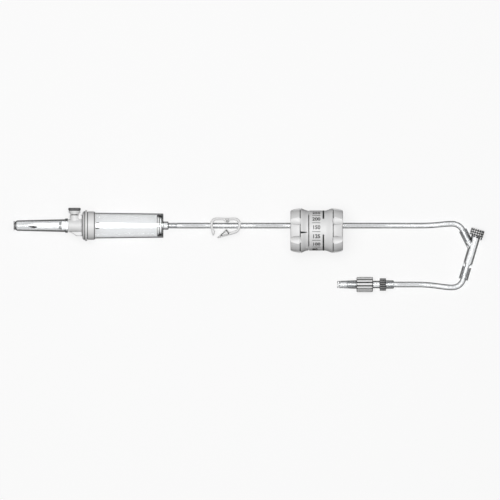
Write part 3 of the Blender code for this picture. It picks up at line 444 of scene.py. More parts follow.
@dataclass(frozen=True)
class PrintedInk:
    """Black ink, pad printed, a little thin in places."""

    name: str
    level: float = 0.012

    def material(self) -> Material:
        """Makes the material."""
        shader = Shader(self.name)
        worn = shader.noise(1500.0, 3.0).between(0.35, 0.8)
        shader.dress(
            Base_Color=shader.mix(worn, shade(self.level), shade(self.level + 0.03)),
            Roughness=0.42 + worn * 0.2,
            Normal=shader.bump(worn, 0.006),
        )
        return shader.material


WHITE = MouldedPlastic("white_plastic", 0.86).material()
BRIGHT = MouldedPlastic("clamp_plastic", 0.84, roughness=0.5).material()
VENT = MouldedPlastic("vent_plastic", 0.82).material()
GREY = MouldedPlastic("vent_head_plastic", 0.13).material()
# Near-black painted shade, put on the faces that cuts leave in grooves, slots, bores and lumens,
# where shade falls.
PAINTED_SHADE = MouldedPlastic("painted_recess_shade", 0.02, roughness=0.6).material()
# Dark grey painted shade on the walls of the clamp's recesses.
PAINTED_WALL_SHADE = MouldedPlastic("recess_wall_painted_shade", 0.2, roughness=0.6).material()
STIPPLED = MouldedPlastic("stippled_band", 0.22, roughness=0.6, grain=0.08).material()
BLACK = MouldedPlastic("cage_plastic", 0.012).material()
SEAL = MouldedPlastic("seal_rubber", 0.5, roughness=0.5).material()
BARREL = ClearPlastic("barrel_plastic", wave=0.003, stretch=(0.2, 1.0, 1.0)).material()
MOULDED_CLEAR = ClearPlastic("clear_moulding", 0.95, 0.09, 0.006).material()
MILKY = ClearPlastic("milky_plastic", 0.9, 0.1, 0.008).material()
CAP_MILKY = ClearPlastic("cap_plastic", 0.82, 0.12).material()
TUBE = ClearPlastic("tube_plastic", 0.9, 0.13, 0.003).material()
RUBBER = CheckeredRubber("checkered_rubber").material()
FILTER = FilterWeb("filter_web").material()
SUPPORT = MouldedPlastic("support_plastic", 0.84, roughness=0.5).material()
INK = PrintedInk("dial_ink").material()


# Shapes


def shift(x: float, y: float = 0.0, z: float = 0.0) -> Matrix:
    """A move by millimetres."""
    return Matrix.Translation((x * MM, y * MM, z * MM))


def swing(degrees: float, axis: str = "Z") -> Matrix:
    """A turn about one axis."""
    return Matrix.Rotation(math.radians(degrees), 4, axis)


def quarter(steps: int) -> list[Pair]:
    """The cosine and sine of even steps through a right angle, without the first."""
    angles = [math.pi / 2 * k / steps for k in range(1, steps + 1)]
    return [(math.cos(angle), math.sin(angle)) for angle in angles]


def clamped(value: float) -> float:
    """A number kept from 0 to 1."""
    return min(1.0, max(0.0, value))


def length_of(line: Sequence[Vector]) -> float:
    """The length of a line of points."""
    return sum((b - a).length for a, b in zip(line, line[1:]))


def linked(name: str, data: bpy.types.ID | None) -> bpy.types.Object:
    """A new object in the scene."""
    item = bpy.data.objects.new(name, data)
    bpy.context.collection.objects.link(item)
    return item


def evaluated(item: bpy.types.Object) -> bpy.types.Mesh:
    """An object's mesh as its modifiers or its text make it."""
    bpy.context.view_layer.update()
    graph = bpy.context.evaluated_depsgraph_get()
    return bpy.data.meshes.new_from_object(item.evaluated_get(graph))


def rounded(corners: Sequence[Corner], step: float = 12.0) -> list[Vector]:
    """Turns each corner of an outline into an arc.

    Args:
        corners: (x, y, fillet) for each corner, in order.
        step: The most that one stretch of an arc turns, in degrees.

    Returns:
        The outline's points.
    """
    outline = []
    for i, (x, y, fillet) in enumerate(corners):
        here = Vector((x, y))
        back = (Vector(corners[i - 1][:2]) - here).normalized()
        ahead = (Vector(corners[(i + 1) % len(corners)][:2]) - here).normalized()
        half = back.angle(ahead) / 2
        if fillet <= 0.0 or half > math.radians(89):
            outline.append(here)
            continue
        centre = here + (back + ahead).normalized() * (fillet / math.sin(half))
        first = here + back * (fillet / math.tan(half)) - centre
        last = here + ahead * (fillet / math.tan(half)) - centre
        sweep = -first.angle_signed(last)
        steps = max(1, math.ceil(abs(sweep) / math.radians(step)))
        turns = [Matrix.Rotation(sweep * k / steps, 2) for k in range(steps + 1)]
        outline += [centre + turn @ first for turn in turns]
    return outline


def bridge(mesh: Mesh, first: list, second: list) -> None:
    """Faces between two rings; a ring of one vertex is a point.

    Args:
        mesh: The mesh that holds the rings.
        first: The vertices of one ring.
        second: The vertices of the next.
    """
    sides = max(len(first), len(second))
    if sides == 1:
        return
    for i in range(sides):
        j = (i + 1) % sides
        around = [first[i % len(first)], first[j % len(first)]]
        around += [second[j % len(second)], second[i % len(second)]]
        mesh.faces.new(list(dict.fromkeys(around)))


def spun(
    outline: Outline,
    sides: int,
    ripple: Ripple | None = None,
    start: float = 0.0,
    matrix: Matrix | None = None,
    mesh: Mesh | None = None,
) -> Mesh:
    """Spins a closed outline of (x, radius) about X.

    Args:
        outline: The points, in millimetres.
        sides: How many facets there are round the axis.
        ripple: Gives the radius from x, the plain radius and the angle from +Z in radians.
        start: Turns the facets by this share of one.
        matrix: Moves the result, in metres.
        mesh: The mesh to add to.

    Returns:
        The mesh, in metres.
    """
    mesh = mesh or bmesh.new()
    rings = []
    for x, radius in outline:
        if radius <= 1e-6:
            rings.append([mesh.verts.new((x * MM, 0.0, 0.0))])
            continue
        ring = []
        for i in range(sides):
            angle = 2 * math.pi * (i + start) / sides
            r = ripple(x, radius, angle) if ripple else radius
            place = (x * MM, r * MM * math.sin(angle), r * MM * math.cos(angle))
            ring.append(mesh.verts.new(place))
        rings.append(ring)
    for first, second in zip(rings, rings[1:] + rings[:1]):
        bridge(mesh, first, second)
    if matrix:
        bmesh.ops.transform(mesh, matrix=matrix, verts=[v for ring in rings for v in ring])
    return mesh


def turned(corners: Sequence[Corner], sides: int = 96, step: float = 15.0, **more: object) -> Mesh:
    """Spins (x, radius, fillet) corners about X, and passes the rest on to spun."""
    return spun(rounded(corners, step), sides, **more)


def stepped(start: float, *steps: Pair) -> list[Pair]:
    """The outline of a stepped bore.

    Args:
        start: Where it starts.
        steps: Where each step ends, and its radius.

    Returns:
        (x, radius) points.
    """
    outline = [(start, 0.0)]
    for end, radius in steps:
        outline += [(outline[-1][0], radius), (end, radius)]
    return [*outline, (outline[-1][0], 0.0)]


def bar(start: Sequence[float], end: Sequence[float], radius: float, sides: int = 32) -> Mesh:
    """A round bar between two points, for bosses and bores."""
    along = (Vector(end) - Vector(start)) * MM
    matrix = shift(*start) @ along.to_track_quat("X", "Z").to_matrix().to_4x4()
    length = along.length / MM
    return spun(stepped(0.0, (length, radius)), sides, start=0.5, matrix=matrix)


def groove(
    x: float, width: float, floor: float, top: float, sides: int = 96, **more: object
) -> Mesh:
    """A ring that cuts a groove round the X axis.

    Args:
        x: The middle of the groove.
        width: Its width.
        floor: The radius of its floor.
        top: A radius outside the piece.
        sides: How many facets the ring has.
        more: What else spun takes.

    Returns:
        The ring.
    """
    low, high = x - width / 2, x + width / 2
    outline = [(low, floor), (low, top), (high, top), (high, floor)]
    return spun(outline, sides, start=0.5, **more)


def raised(
    outline: Outline,
    low: float,
    high: float,
    spread: Pair = (1.0, 1.0),
) -> Mesh:
    """A flat outline in the XY plane, raised from one height to another.

    Args:
        outline: The outline's points.
        low: The lower height.
        high: The upper height.
        spread: How large the outline is at each height, about its middle.

    Returns:
        The mesh.
    """
    mesh = bmesh.new()
    middle = sum((Vector(point) for point in outline), Vector((0.0, 0.0))) / len(outline)
    rings = []
    for height, size in zip((low, high), spread):
        places = [middle + (Vector(point) - middle) * size for point in outline]
        rings.append([mesh.verts.new((x * MM, y * MM, height * MM)) for x, y in places])
    bottom, top = rings
    mesh.faces.new(bottom)
    mesh.faces.new(top)
    bridge(mesh, bottom, top)
    return mesh


def room(outline: Sequence[Vector], i: int, ahead: Vector) -> float:
    """The radius of the largest circle that touches an outline at one point from inside.

    Args:
        outline: The outline's points.
        i: Which point the circle touches.
        ahead: The inward direction there.

    Returns:
        The radius.
    """
    least = math.inf
    for other in outline:
        across = other - outline[i]
        depth = across.dot(ahead)
        if depth > 1e-6:
            least = min(least, across.length_squared / (2 * depth))
    return least


def plate(outline: Sequence[Vector], half: float, edge: float, steps: int = 6) -> Mesh:
    """A flat outline raised both ways from the XY plane, with its rims rounded.

    Args:
        outline: The outline's points.
        half: Half of its thickness.
        edge: How far the rims are rounded, less where the outline leaves no room.
        steps: How many bands each rounded rim has.

    Returns:
        The mesh.
    """
    count = len(outline)
    area = sum(outline[i - 1].cross(outline[i]) for i in range(count))
    inward = []
    for i, point in enumerate(outline):
        along = (outline[(i + 1) % count] - outline[i - 1]).normalized()
        inward.append(Vector((-along.y, along.x)) * (1 if area > 0 else -1))
    rooms = [(0.85 * room(outline, i, inward[i]), outline[i]) for i in range(count)]
    limits = [min(r + 0.5 * (here - there).length for r, there in rooms) for here in outline]
    levels = [(half - edge, 0.0)]
    for cosine, sine in quarter(steps):
        levels.append((half - edge * (1 - sine), edge * (1 - cosine)))
    levels = [(-height, inset) for height, inset in reversed(levels)] + levels
    mesh = bmesh.new()
    rings = []
    for height, inset in levels:
        ring = []
        for point, way, limit in zip(outline, inward, limits):
            x, y = point + way * min(inset, limit)
            ring.append(mesh.verts.new((x * MM, y * MM, height * MM)))
        rings.append(ring)
    for first, second in zip(rings, rings[1:]):
        bridge(mesh, first, second)
    mesh.faces.new(rings[0])
    mesh.faces.new(rings[-1])
    return mesh


def slab(top: list[list[Vector]], bottom: list[list[Vector]]) -> Mesh:
    """A closed plate between two grids of points of the same size, in metres.

    Args:
        top: Rows of points of the outer face.
        bottom: The same rows of the inner face.

    Returns:
        The plate.
    """
    mesh = bmesh.new()
    upper = [[mesh.verts.new(point) for point in row] for row in top]
    lower = [[mesh.verts.new(point) for point in row] for row in bottom]
    for grid in (upper, lower):
        for near, far in zip(grid, grid[1:]):
            for i in range(len(near) - 1):
                mesh.faces.new((near[i], near[i + 1], far[i + 1], far[i]))
    rims = []
    for grid in (upper, lower):
        rim = grid[0] + [row[-1] for row in grid[1:]] + grid[-1][-2::-1]
        rims.append(rim + [row[0] for row in grid[-2:0:-1]])
    bridge(mesh, *rims)
    return mesh


def smooth(item: bpy.types.Object, angle: float = 32.0) -> None:
    """Smooth shading, sharp where faces meet at more than an angle."""
    item.data.shade_smooth()
    item.data.set_sharp_from_angle(angle=math.radians(angle))


def mesh_data(name: str, mesh: Mesh) -> bpy.types.Mesh:
    """Mesh data from a bmesh, which is freed."""
    data = bpy.data.meshes.new(name)
    mesh.to_mesh(data)
    mesh.free()
    return data


@dataclass
class Tool:
    """A mesh that is joined to a piece or cut from it.

    Attributes:
        operation: What it does.
        mesh: Its mesh, in the piece's frame.
        finish: The finish of the faces that it leaves, where it isn't the piece's own.
    """

    operation: Operation
    mesh: Mesh
    finish: Material | None = None


def join(mesh: Mesh) -> Tool:
    """A tool that is joined to a piece."""
    return Tool(Operation.JOIN, mesh)


def cut(mesh: Mesh, finish: Material | None = None) -> Tool:
    """A tool that is cut from a piece, and the finish that it leaves."""
    return Tool(Operation.CUT, mesh, finish)


@dataclass
class Assembly:
    """A group of pieces that share a local frame.

    Attributes:
        origin: The frame's place in the row frame, in millimetres.
        turn: The frame's turn about Z, in degrees.
    """

    origin: Place
    turn: float = 0.0

    def matrix(self) -> Matrix:
        """The frame as a matrix, in metres."""
        return shift(*self.origin) @ swing(self.turn)

    def tool(self, name: str, mesh: Mesh) -> bpy.types.Object:
        """An object from a mesh, in the local frame."""
        bmesh.ops.recalc_face_normals(mesh, faces=mesh.faces)
        item = linked(name, mesh_data(name, mesh))
        item.matrix_world = self.matrix()
        return item

    def piece(
        self,
        name: str,
        mesh: Mesh,
        body: Body,
        material: Material,
        slot: Slot,
        nodes: Sequence[str] = (),
        work: Sequence[Tool] = (),
    ) -> bpy.types.Object:
        """Makes one visible piece.

        Args:
            name: The piece's name.
            mesh: Its mesh in the local frame, in metres.
            body: The body that carries it.
            material: Its finish.
            slot: The record's slot that the finish belongs to; not used.
            nodes: The CAD nodes that it stands for.
            work: Tools that are joined to it or cut from it, in order.

        Returns:
            The piece.
        """
        item = self.tool(name, mesh)
        item.data.materials.append(material)
        spare = []
        for k, tool in enumerate(work):
            other = self.tool(f"{name}_tool_{k}", tool.mesh)
            other.data.materials.append(tool.finish or material)
            spare.append(other)
            modifier = item.modifiers.new(f"work_{k}", "BOOLEAN")
            modifier.operation = tool.operation.value
            modifier.solver = "EXACT"
            modifier.material_mode = "TRANSFER"
            modifier.object = other
        if spare:
            made = evaluated(item)
            item.modifiers.clear()
            item.data = made
            for other in spare:
                bpy.data.objects.remove(other)
        smooth(item)
        if nodes:
            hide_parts(*nodes)
        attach(item, body.value)
        log.info("%s: %d faces", name, len(item.data.polygons))
        return item


def keep(node: str, material: Material) -> None:
    """Gives a CAD node that stays its finish."""
    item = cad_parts[node]
    item.data.materials.clear()
    item.data.materials.append(material)
    smooth(item)
    log.info("%s: kept", node)


# Spike, vent and cover


@dataclass
class SpikeEnd(Assembly):
    """Spike, hub, vent and cover. The local origin is at the open edge of the skirt."""

    origin: Place = (-112.4, 17.7, 11.17)
    spike_radius: float = 2.4
    spike_length: float = 31.0
    point_length: float = 9.0
    plug_radius: float = 3.25
    plug_length: float = 4.8
    plug_flare: float = 2.1
    flare_groove: float = 0.12
    bevel_length: float = 12.0
    lumen_offset: float = 0.95
    lumen_height: float = 1.1
    lumen: float = 0.8
    air_lumen: float = 0.65
    hub_radius: float = 4.8
    hub_x: float = -19.5
    dome_x: float = -9.65
    dome_face: float = 8.0
    ring_radius: float = 11.17
    ring_x: float = -7.55
    skirt_x: float = -5.7
    skirt_radius: float = 10.33
    socket: float = 9.57
    wall: float = 1.6
    nozzle_x: float = 2.8
    nozzle: float = 1.65
    vent_x: float = -15.07
    vent_radius: float = 3.4
    vent_height: float = 8.1
    vent_bore: float = 1.3
    fin_height: float = 7.6
    line_width: float = 0.5
    gap: float = 0.3
    knurls: int = 36
    cover_length: float = 39.7
    cover_ribs: int = 24

    @property
    def tip(self) -> float:
        """Where the spike's point is."""
        return self.hub_x - self.spike_length

    @property
    def root(self) -> float:
        """Where the drip nozzle's bore starts."""
        return self.vent_x + self.vent_bore + self.wall

    @property
    def upright(self) -> Matrix:
        """The vent's frame, with +X up out of the hub."""
        return shift(self.vent_x) @ swing(90.0)

    def build(self) -> None:
        """Builds the pieces."""
        self.hub()
        self.vent_cap()
        self.cover()
        keep("vent_filter", FILTER)

    def hub(self) -> None:
        """One moulding: spike, hub, vent boss, web, fin, dome flange, skirt and drip nozzle."""
        high, radius = self.vent_height, self.vent_radius
        boss = [(0.0, 0.0, 0.0), (0.0, radius, 0.0), (high, radius, 0.25), (high, 0.0, 0.0)]
        work = [
            join(self.spike()),
            *self.dark_lines(),
            join(turned(boss, 64, start=0.5, matrix=self.upright)),
            *(join(plate(rounded(rib), 1.0, 0.9)) for rib in self.ribs()),
            *self.ways(),
        ]
        shell = turned(self.shell())
        self.piece("hub_moulding", shell, Body.LINE, WHITE, Slot.WHITE, ["spike_hub"], work)

    def spike(self) -> Mesh:
        """The spike with its grooved flare and its plug."""
        outline = [(self.tip, 0.0)]
        for k, (_, sine) in enumerate(quarter(20), 1):
            outline.append((self.tip + self.point_length * k / 20, self.spike_radius * sine))
        band = self.hub_x - self.plug_length
        for k in range(13):
            share = k / 12
            radius = self.spike_radius + (self.plug_radius - self.spike_radius) * share
            depth = self.flare_groove if k % 2 else 0.0
            outline.append((band - self.plug_flare * (1 - share), radius - depth))
        end = self.hub_x + self.wall
        return spun([*outline, (end, self.plug_radius), (end, 0.0)], 48, start=0.5)

    def shell(self) -> list[Corner]:
        """The outline of hub, dome, flange, skirt and nozzle."""
        x, dome, ring, skirt, wall = self.hub_x, self.dome_x, self.ring_x, self.skirt_x, self.wall
        corners = [(x, 0.0, 0.0), (x, self.hub_radius, 0.35), (dome, self.hub_radius, 0.5)]
        corners += [(dome, self.dome_face, 0.4), (dome + 0.55, 9.7, 3.0), (ring - 0.15, 10.85, 0.2)]
        corners += [(ring, 10.75, 0.0), (ring, self.ring_radius, 0.5)]
        corners += [(skirt, self.ring_radius, 0.5), (skirt, self.skirt_radius, 0.25)]
        corners += [(0.0, self.skirt_radius, 0.6), (0.0, self.socket, 0.1)]
        corners += [(skirt, self.socket, 0.1), (skirt, 8.65, 0.2)]
        corners += [(dome + wall, self.dome_face - wall, 0.6), (dome + wall, 2.55, 0.4)]
        corners += [(self.nozzle_x, 2.4, 0.25), (self.nozzle_x, self.nozzle, 0.15)]
        return [*corners, (self.root, self.nozzle, 0.0), (self.root, 0.0, 0.0)]

    def ribs(self) -> list[list[Corner]]:
        """The outlines of the web beside the vent and of the fin across from it."""
        inside, top = self.dome_x + self.wall / 2, self.vent_height - 0.15
        web = [(self.vent_x, 0.2, 0.0), (inside, 0.2, 0.0)]
        web += [(inside, top, 0.0), (self.vent_x, top, 0.0)]
        slant = self.fin_height - self.hub_radius
        start = self.hub_x + slant / 2
        fin = [(start, -0.2, 0.0), (inside, -0.2, 0.0), (inside, -self.fin_height, 0.0)]
        fin.append((start + 1.5 * slant, -self.fin_height, 1.2))
        return [web, [*fin, (start, -self.hub_radius + 0.15, 0.4)]]

    def dark_lines(self) -> list[Tool]:
        """The fine grooves round the flange and the nozzle's slots, lined with painted shade, and
        the flare's stippled band.
        """
        floors = [(self.dome_x + 0.15, 7.8), (self.ring_x, 10.35)]
        floors += [(self.skirt_x + 0.15, 9.95), (-0.6, 10.0)]
        # The flange grooves are lined with painted shade.
        tools = [cut(groove(x, self.line_width, floor, 13.0), PAINTED_SHADE) for x, floor in floors]
        last = self.hub_x - self.plug_length
        first, skin, outside = last - self.plug_flare, 0.1, 4.2
        band = [(first, self.spike_radius - skin), (first, outside)]
        band += [(last, outside), (last, self.plug_radius - skin)]
        tools.append(cut(spun(band, 64, start=0.5), STIPPLED))
        # The nozzle's slots are lined with painted shade.
        for y in (-2.2, 2.2):
            for z in (-1.1, 1.1):
                tools.append(cut(bar((0.5, y, z), (3.2, y, z), 0.75, 20), PAINTED_SHADE))
        return tools

    def ways(self) -> list[Tool]:
        """The lumens, the vent's bore and cup, the bevel, and the line below the vent's mouth; all
        but the bevel are lined with painted shade.
        """
        low, offset, rise = self.tip - self.plug_length, self.lumen_offset, self.lumen_height
        fluid = bar((low, -offset, rise), (self.root + 0.15, -offset, rise), self.lumen, 24)
        air = bar((low, offset, 0.0), (self.vent_x + 0.65, offset, 0.0), self.air_lumen, 24)
        floor, cup, mouth = 4.2, 2.25, self.vent_height + self.gap
        way = stepped(offset, (floor, self.vent_bore), (mouth, cup))
        vent = spun(way, 40, start=0.5, matrix=self.upright)
        neck = self.vent_height - self.gap
        line = groove(neck, self.line_width, 3.05, 3.9, 64, matrix=self.upright)
        lumens = [cut(fluid, PAINTED_SHADE), cut(air, PAINTED_SHADE), cut(vent, PAINTED_SHADE)]
        return [*lumens, cut(self.bevel()), cut(line, PAINTED_SHADE)]

    def bevel(self) -> Mesh:
        """The slanting wedge that opens the spike's point upwards."""
        reach = 2 * self.spike_radius
        low, high = 0.1, self.spike_radius + self.gap
        back, end = self.tip - reach, self.tip + self.bevel_length
        slope = (high - low) / self.bevel_length
        side = [(back, low - slope * reach), (end, high), (end, high + reach), (back, high + reach)]
        mesh = raised(side, -reach, reach)
        bmesh.ops.transform(mesh, matrix=swing(90.0, "X"), verts=mesh.verts)
        return mesh

    def vent_cap(self) -> None:
        """The vent's plug, with a knurled head."""
        seat = self.vent_height + self.gap
        lip, top = seat + 0.9, seat + 4.6
        base, head = lip + 1.5, lip + 1.75
        corners = [(seat - 2.4, 0.0, 0.0), (seat - 2.4, 1.95, 0.3), (seat, 2.1, 0.0)]
        corners += [(seat, 3.4, 0.15), (lip, 3.4, 0.1), (lip, 4.27, 0.3), (base, 4.2, 0.1)]
        mesh = turned([*corners, (base, 0.0, 0.0)], 64, matrix=self.upright)
        self.piece("vent_plug_cap", mesh, Body.VENT_PLUG, VENT, Slot.WHITE, ["vent_cap"])
        corners = [(base, 0.0, 0.0), (base, 3.95, 0.05), (head, 3.95, 0.05), (head, 4.53, 0.2)]
        corners += [(top, 4.53, 0.5), (top, 3.3, 0.15), (top - 0.35, 3.1, 0.15)]
        corners.append((top - 0.35, 0.0, 0.0))

        def knurl(x: float, radius: float, angle: float) -> float:
            """Fine grooves round the head."""
            if x < head + 0.05 or radius < 4.0:
                return radius
            return radius - 0.16 * (0.5 + 0.5 * math.cos(self.knurls * angle)) ** 2

        mesh = turned(corners, 6 * self.knurls, ripple=knurl, matrix=self.upright)
        self.piece("vent_plug_head", mesh, Body.VENT_PLUG, GREY, Slot.GRIP)

    def cover(self) -> None:
        """The tapered cover, with its rim and ribbed boss."""
        mouth = self.hub_x - self.gap
        end = mouth - self.cover_length
        floor, boss, rim, depth = end + 1.0, end + 2.2, mouth - 2.0, 0.28
        corners = [(end, 0.0, 0.0), (end, 3.45, 0.3), (boss, 3.45, 0.1), (boss + 0.4, 3.85, 0.25)]
        corners += [(rim, 4.65, 0.3), (rim, 5.35, 0.4), (mouth, 5.35, 0.4), (mouth, 3.45, 0.2)]
        corners += [(mouth - 5.1, 3.4, 0.1), (floor + 1.0, 2.95, 0.4), (floor, 1.95, 0.5)]
        corners.append((floor, 0.0, 0.0))

        def ribs(x: float, radius: float, angle: float) -> float:
            """Fine ribs on the boss at the closed end."""
            if x > boss - 0.1 or radius < 3.0:
                return radius
            return radius - depth * (0.5 - 0.5 * math.cos(self.cover_ribs * angle))

        mesh = turned(corners, 6 * self.cover_ribs, ripple=ribs)
        work = [cut(groove(end + 1.15, 1.1, 3.0, 4.2), GREY)]
        self.piece("cover_shell", mesh, Body.COVER, MILKY, Slot.MILKY, ["spike_cover"], work)


@dataclass
class DripChamber(Assembly):
    """Barrel, filter and outlet. The local origin is at the open edge of the skirt."""

    origin: Place = (-112.4, 17.7, 11.17)
    radius: float = 9.42
    end_radius: float = 8.8
    wall: float = 0.62
    top: float = -5.4
    reach: float = 49.8
    cage_length: float = 3.5
    cage_rim: float = 0.3
    cage_wall: float = 0.9
    cage_fit: float = 0.3
    post_angles: Pair = (35.0, 43.0)
    holes: int = 12
    stub: float = 2.96
    stub_bore: float = 2.1
    spigot_bore: float = 1.0

    def build(self) -> None:
        """Builds the pieces."""
        self.barrel()
        self.cage()
        self.outlet()

    def barrel(self) -> None:
        """The tapered clear barrel."""
        inner, end_inner = self.radius - self.wall, self.end_radius - self.wall
        corners = [(self.top, inner, 0.1), (self.top, self.radius, 0.15), (0.0, self.radius, 0.0)]
        corners += [(self.reach, self.end_radius, 0.25), (self.reach, end_inner, 0.1)]
        mesh = turned([*corners, (0.0, inner, 0.0)], 128)
        self.piece("barrel", mesh, Body.LINE, BARREL, Slot.CLEAR, ["drip_chamber"])

    def cage(self) -> None:
        """The windowed black cage, and the two discs that it holds."""
        outer = self.end_radius - self.wall - self.cage_fit
        inner = outer - self.cage_wall
        last = self.reach - 1.2
        first = last - self.cage_length
        bay = (self.cage_length - 3 * self.cage_rim) / 2
        work, discs = [], []
        for k, half_angle in enumerate(self.post_angles):
            start = first + self.cage_rim + k * (self.cage_rim + bay)
            end, half = start + bay, outer * math.cos(math.radians(half_angle))
            window = [(start, -half, 0.2), (end, -half, 0.2), (end, half, 0.2), (start, half, 0.2)]
            work.append(cut(raised(rounded(window), -2 * outer, 2 * outer)))
            discs.append(start + bay / 2)
        web, support = (self.disc(middle, inner - 0.15) for middle in discs)
        self.piece("filter_web_disc", web, Body.LINE, FILTER, Slot.FILTER, ["filter_disc"])
        drilled = self.drilling(discs[1], 0.72 * (inner - 0.15))
        nodes = ["support_disc"]
        self.piece("support_plate", support, Body.LINE, SUPPORT, Slot.WHITE, nodes, drilled)
        corners = [(first, inner, 0.1), (first, outer, 0.12), (last, outer, 0.12)]
        ring = turned([*corners, (last, inner, 0.1)])
        self.piece("cage_ring", ring, Body.LINE, BLACK, Slot.BLACK, ["filter_cage"], work)

    def disc(self, middle: float, radius: float) -> Mesh:
        """A disc that fills one bay of the cage."""
        low, high = middle - 0.55, middle + 0.55
        corners = [(low, 0.0, 0.0), (low, radius, 0.15), (high, radius, 0.15), (high, 0.0, 0.0)]
        return turned(corners, 72)

    def drilling(self, middle: float, ring: float) -> list[Tool]:
        """The holes round the support plate, on a circle of this radius."""
        tools = []
        for i in range(self.holes):
            hole = bar((middle - 1.55, 0, ring), (middle + 1.55, 0, ring), 0.75, 20)
            turn = swing(360 / self.holes * (i + 0.5), "X")
            bmesh.ops.transform(hole, matrix=turn, verts=hole.verts)
            tools.append(cut(hole))
        return tools

    def outlet(self) -> None:
        """The foot plate with its stub and barbed spigot."""
        end, foot = self.reach, self.reach - 0.9
        inner = self.end_radius - self.wall - 0.15
        stub, tip = end + 3.7, end + 10.05
        corners = [(foot, inner, 0.1), (end, inner, 0.1), (end, self.stub, 0.3)]
        corners += [(stub, self.stub, 0.5), (stub, 1.9, 0.15), (tip, 1.5, 0.2)]
        corners += [(tip, self.spigot_bore, 0.1), (stub - 0.5, self.spigot_bore, 0.2)]
        corners += [(stub - 0.5, self.stub_bore, 0.1), (foot, self.stub_bore, 0.1)]
        mesh = turned(corners, 80)
        self.piece("outlet_foot", mesh, Body.LINE, MOULDED_CLEAR, Slot.CLEAR, ["chamber_outlet"])


@dataclass
class PinchClamp(Assembly):
    """The one-piece clamp, seen on its edge. The local origin is on the tubing's axis."""

    origin: Place = (-16.6, 17.7, 4.5)
    width: float = 9.0
    strip: float = 1.95
    left: float = -11.7
    right: float = 10.6
    top: float = 6.1
    sag: float = 0.55
    jaw: float = 2.35
    lever_end: Pair = (-7.5, -9.5)
    lever_rise: float = 4.8
    hole: float = 2.45
    edge: float = 0.9
    bead: Pair = (0.65, 3.25)
    bead_radii: Pair = (0.5, 0.85)
    recesses: tuple[tuple[tuple[Corner, ...], float, float], ...] = (
        (((-0.3, -3.9, 0.25), (1.4, -5.9, 0.3), (-4.0, -7.3, 0.3)), 2.6, 1.5),
        (((-4.7, -7.5, 0.15), (-4.4, -8.2, 0.15), (-6.5, -8.9, 0.15)), 0.6, 1.4),
        (((-1.5, 4.75, 0.25), (2.0, 4.75, 0.25), (0.6, 3.9, 0.3)), 0.7, 1.4),
    )

    def outline(self) -> list[Vector]:
        """The strip from the catch leg over the top, round the hinge bend and along the lever."""
        left, right, top, strip, jaw = self.left, self.right, self.top, self.strip, self.jaw
        end_x, end_y = self.lever_end
        under, dip = top - strip, top - strip - self.sag / 2
        rise = self.lever_rise / (right - end_x)
        inside = end_y + strip * math.hypot(1.0, rise)
        bend, leg = right - strip, left + strip
        corners = [(left + 1.8, -8.0, 0.5), (left, -0.6, 9.0), (left, top, 4.6)]
        corners += [(0.0, top - self.sag, 22.0), (right, top, 4.7)]
        corners += [(right, end_y + self.lever_rise, 6.3), (end_x, end_y, 0.35), (0.0, -jaw, 0.4)]
        for x, fillet in ((2.4, 0.3), (bend, 4.4)):
            corners.append((x, inside + rise * (x - end_x), fillet))
        corners += [(bend, under, 2.8), (2.5, dip, 0.3), (1.8, jaw, 0.7), (-0.6, jaw, 0.7)]
        corners += [(-2.1, dip, 0.3), (leg, under, 2.7), (leg, -1.2, 2.0)]
        corners += [(left + 2.6, -3.1, 0.15), (left + 3.5, -3.9, 0.3), (left + 2.9, -6.4, 1.2)]
        return rounded(corners, 5.0)

    def build(self) -> None:
        """Builds the clamp with its recesses, and the bead's ring on the upper jaw, which is lined
        with painted shade.
        """
        half = self.width / 2
        reach = 2 * (self.right - self.left)
        work = [cut(bar((-reach, 0, 0), (reach, 0, 0), self.hole, 48))]
        for side in (-1, 1):
            work += self.recess_tools(side, half)
            inner, outer = self.bead_radii
            low, high = half - 0.9, half + 0.3
            ring = [(low, inner), (low, outer), (high, outer), (high, inner)]
            place = shift(*self.bead) @ swing(-side * 90.0, "Y")
            # The bead's ring is cut with painted shade on its faces.
            work.append(cut(spun(ring, 24, matrix=place), PAINTED_SHADE))
        mesh = plate(self.outline(), half, self.edge)
        self.piece("clamp_strip", mesh, Body.CLAMP, BRIGHT, Slot.WHITE, ["pinch_clamp"], work)

    def recess_tools(self, side: int, half: float) -> list[Tool]:
        """The recesses of one side, each with walls darkened by painted shade and a floor of the
        clamp's own finish.

        Args:
            side: 1 for the top and -1 for the underside.
            half: Half of the clamp's width.

        Returns:
            The tools.
        """
        tools = []
        for corners, depth, spread in self.recesses:
            shape = rounded(corners, 20.0)
            floor, mouth = side * (half - depth), side * (half + 0.02)
            sizes = (1.0, spread) if side > 0 else (spread, 1.0)
            # Painted shade on the recess walls; the next cut leaves the floor in the clamp's own
            # finish.
            tools.append(cut(raised(shape, *sorted((floor, mouth)), sizes), PAINTED_WALL_SHADE))
            tools.append(cut(raised(shape, *sorted((floor - side * 0.15, mouth)))))
        return tools


# Regulator


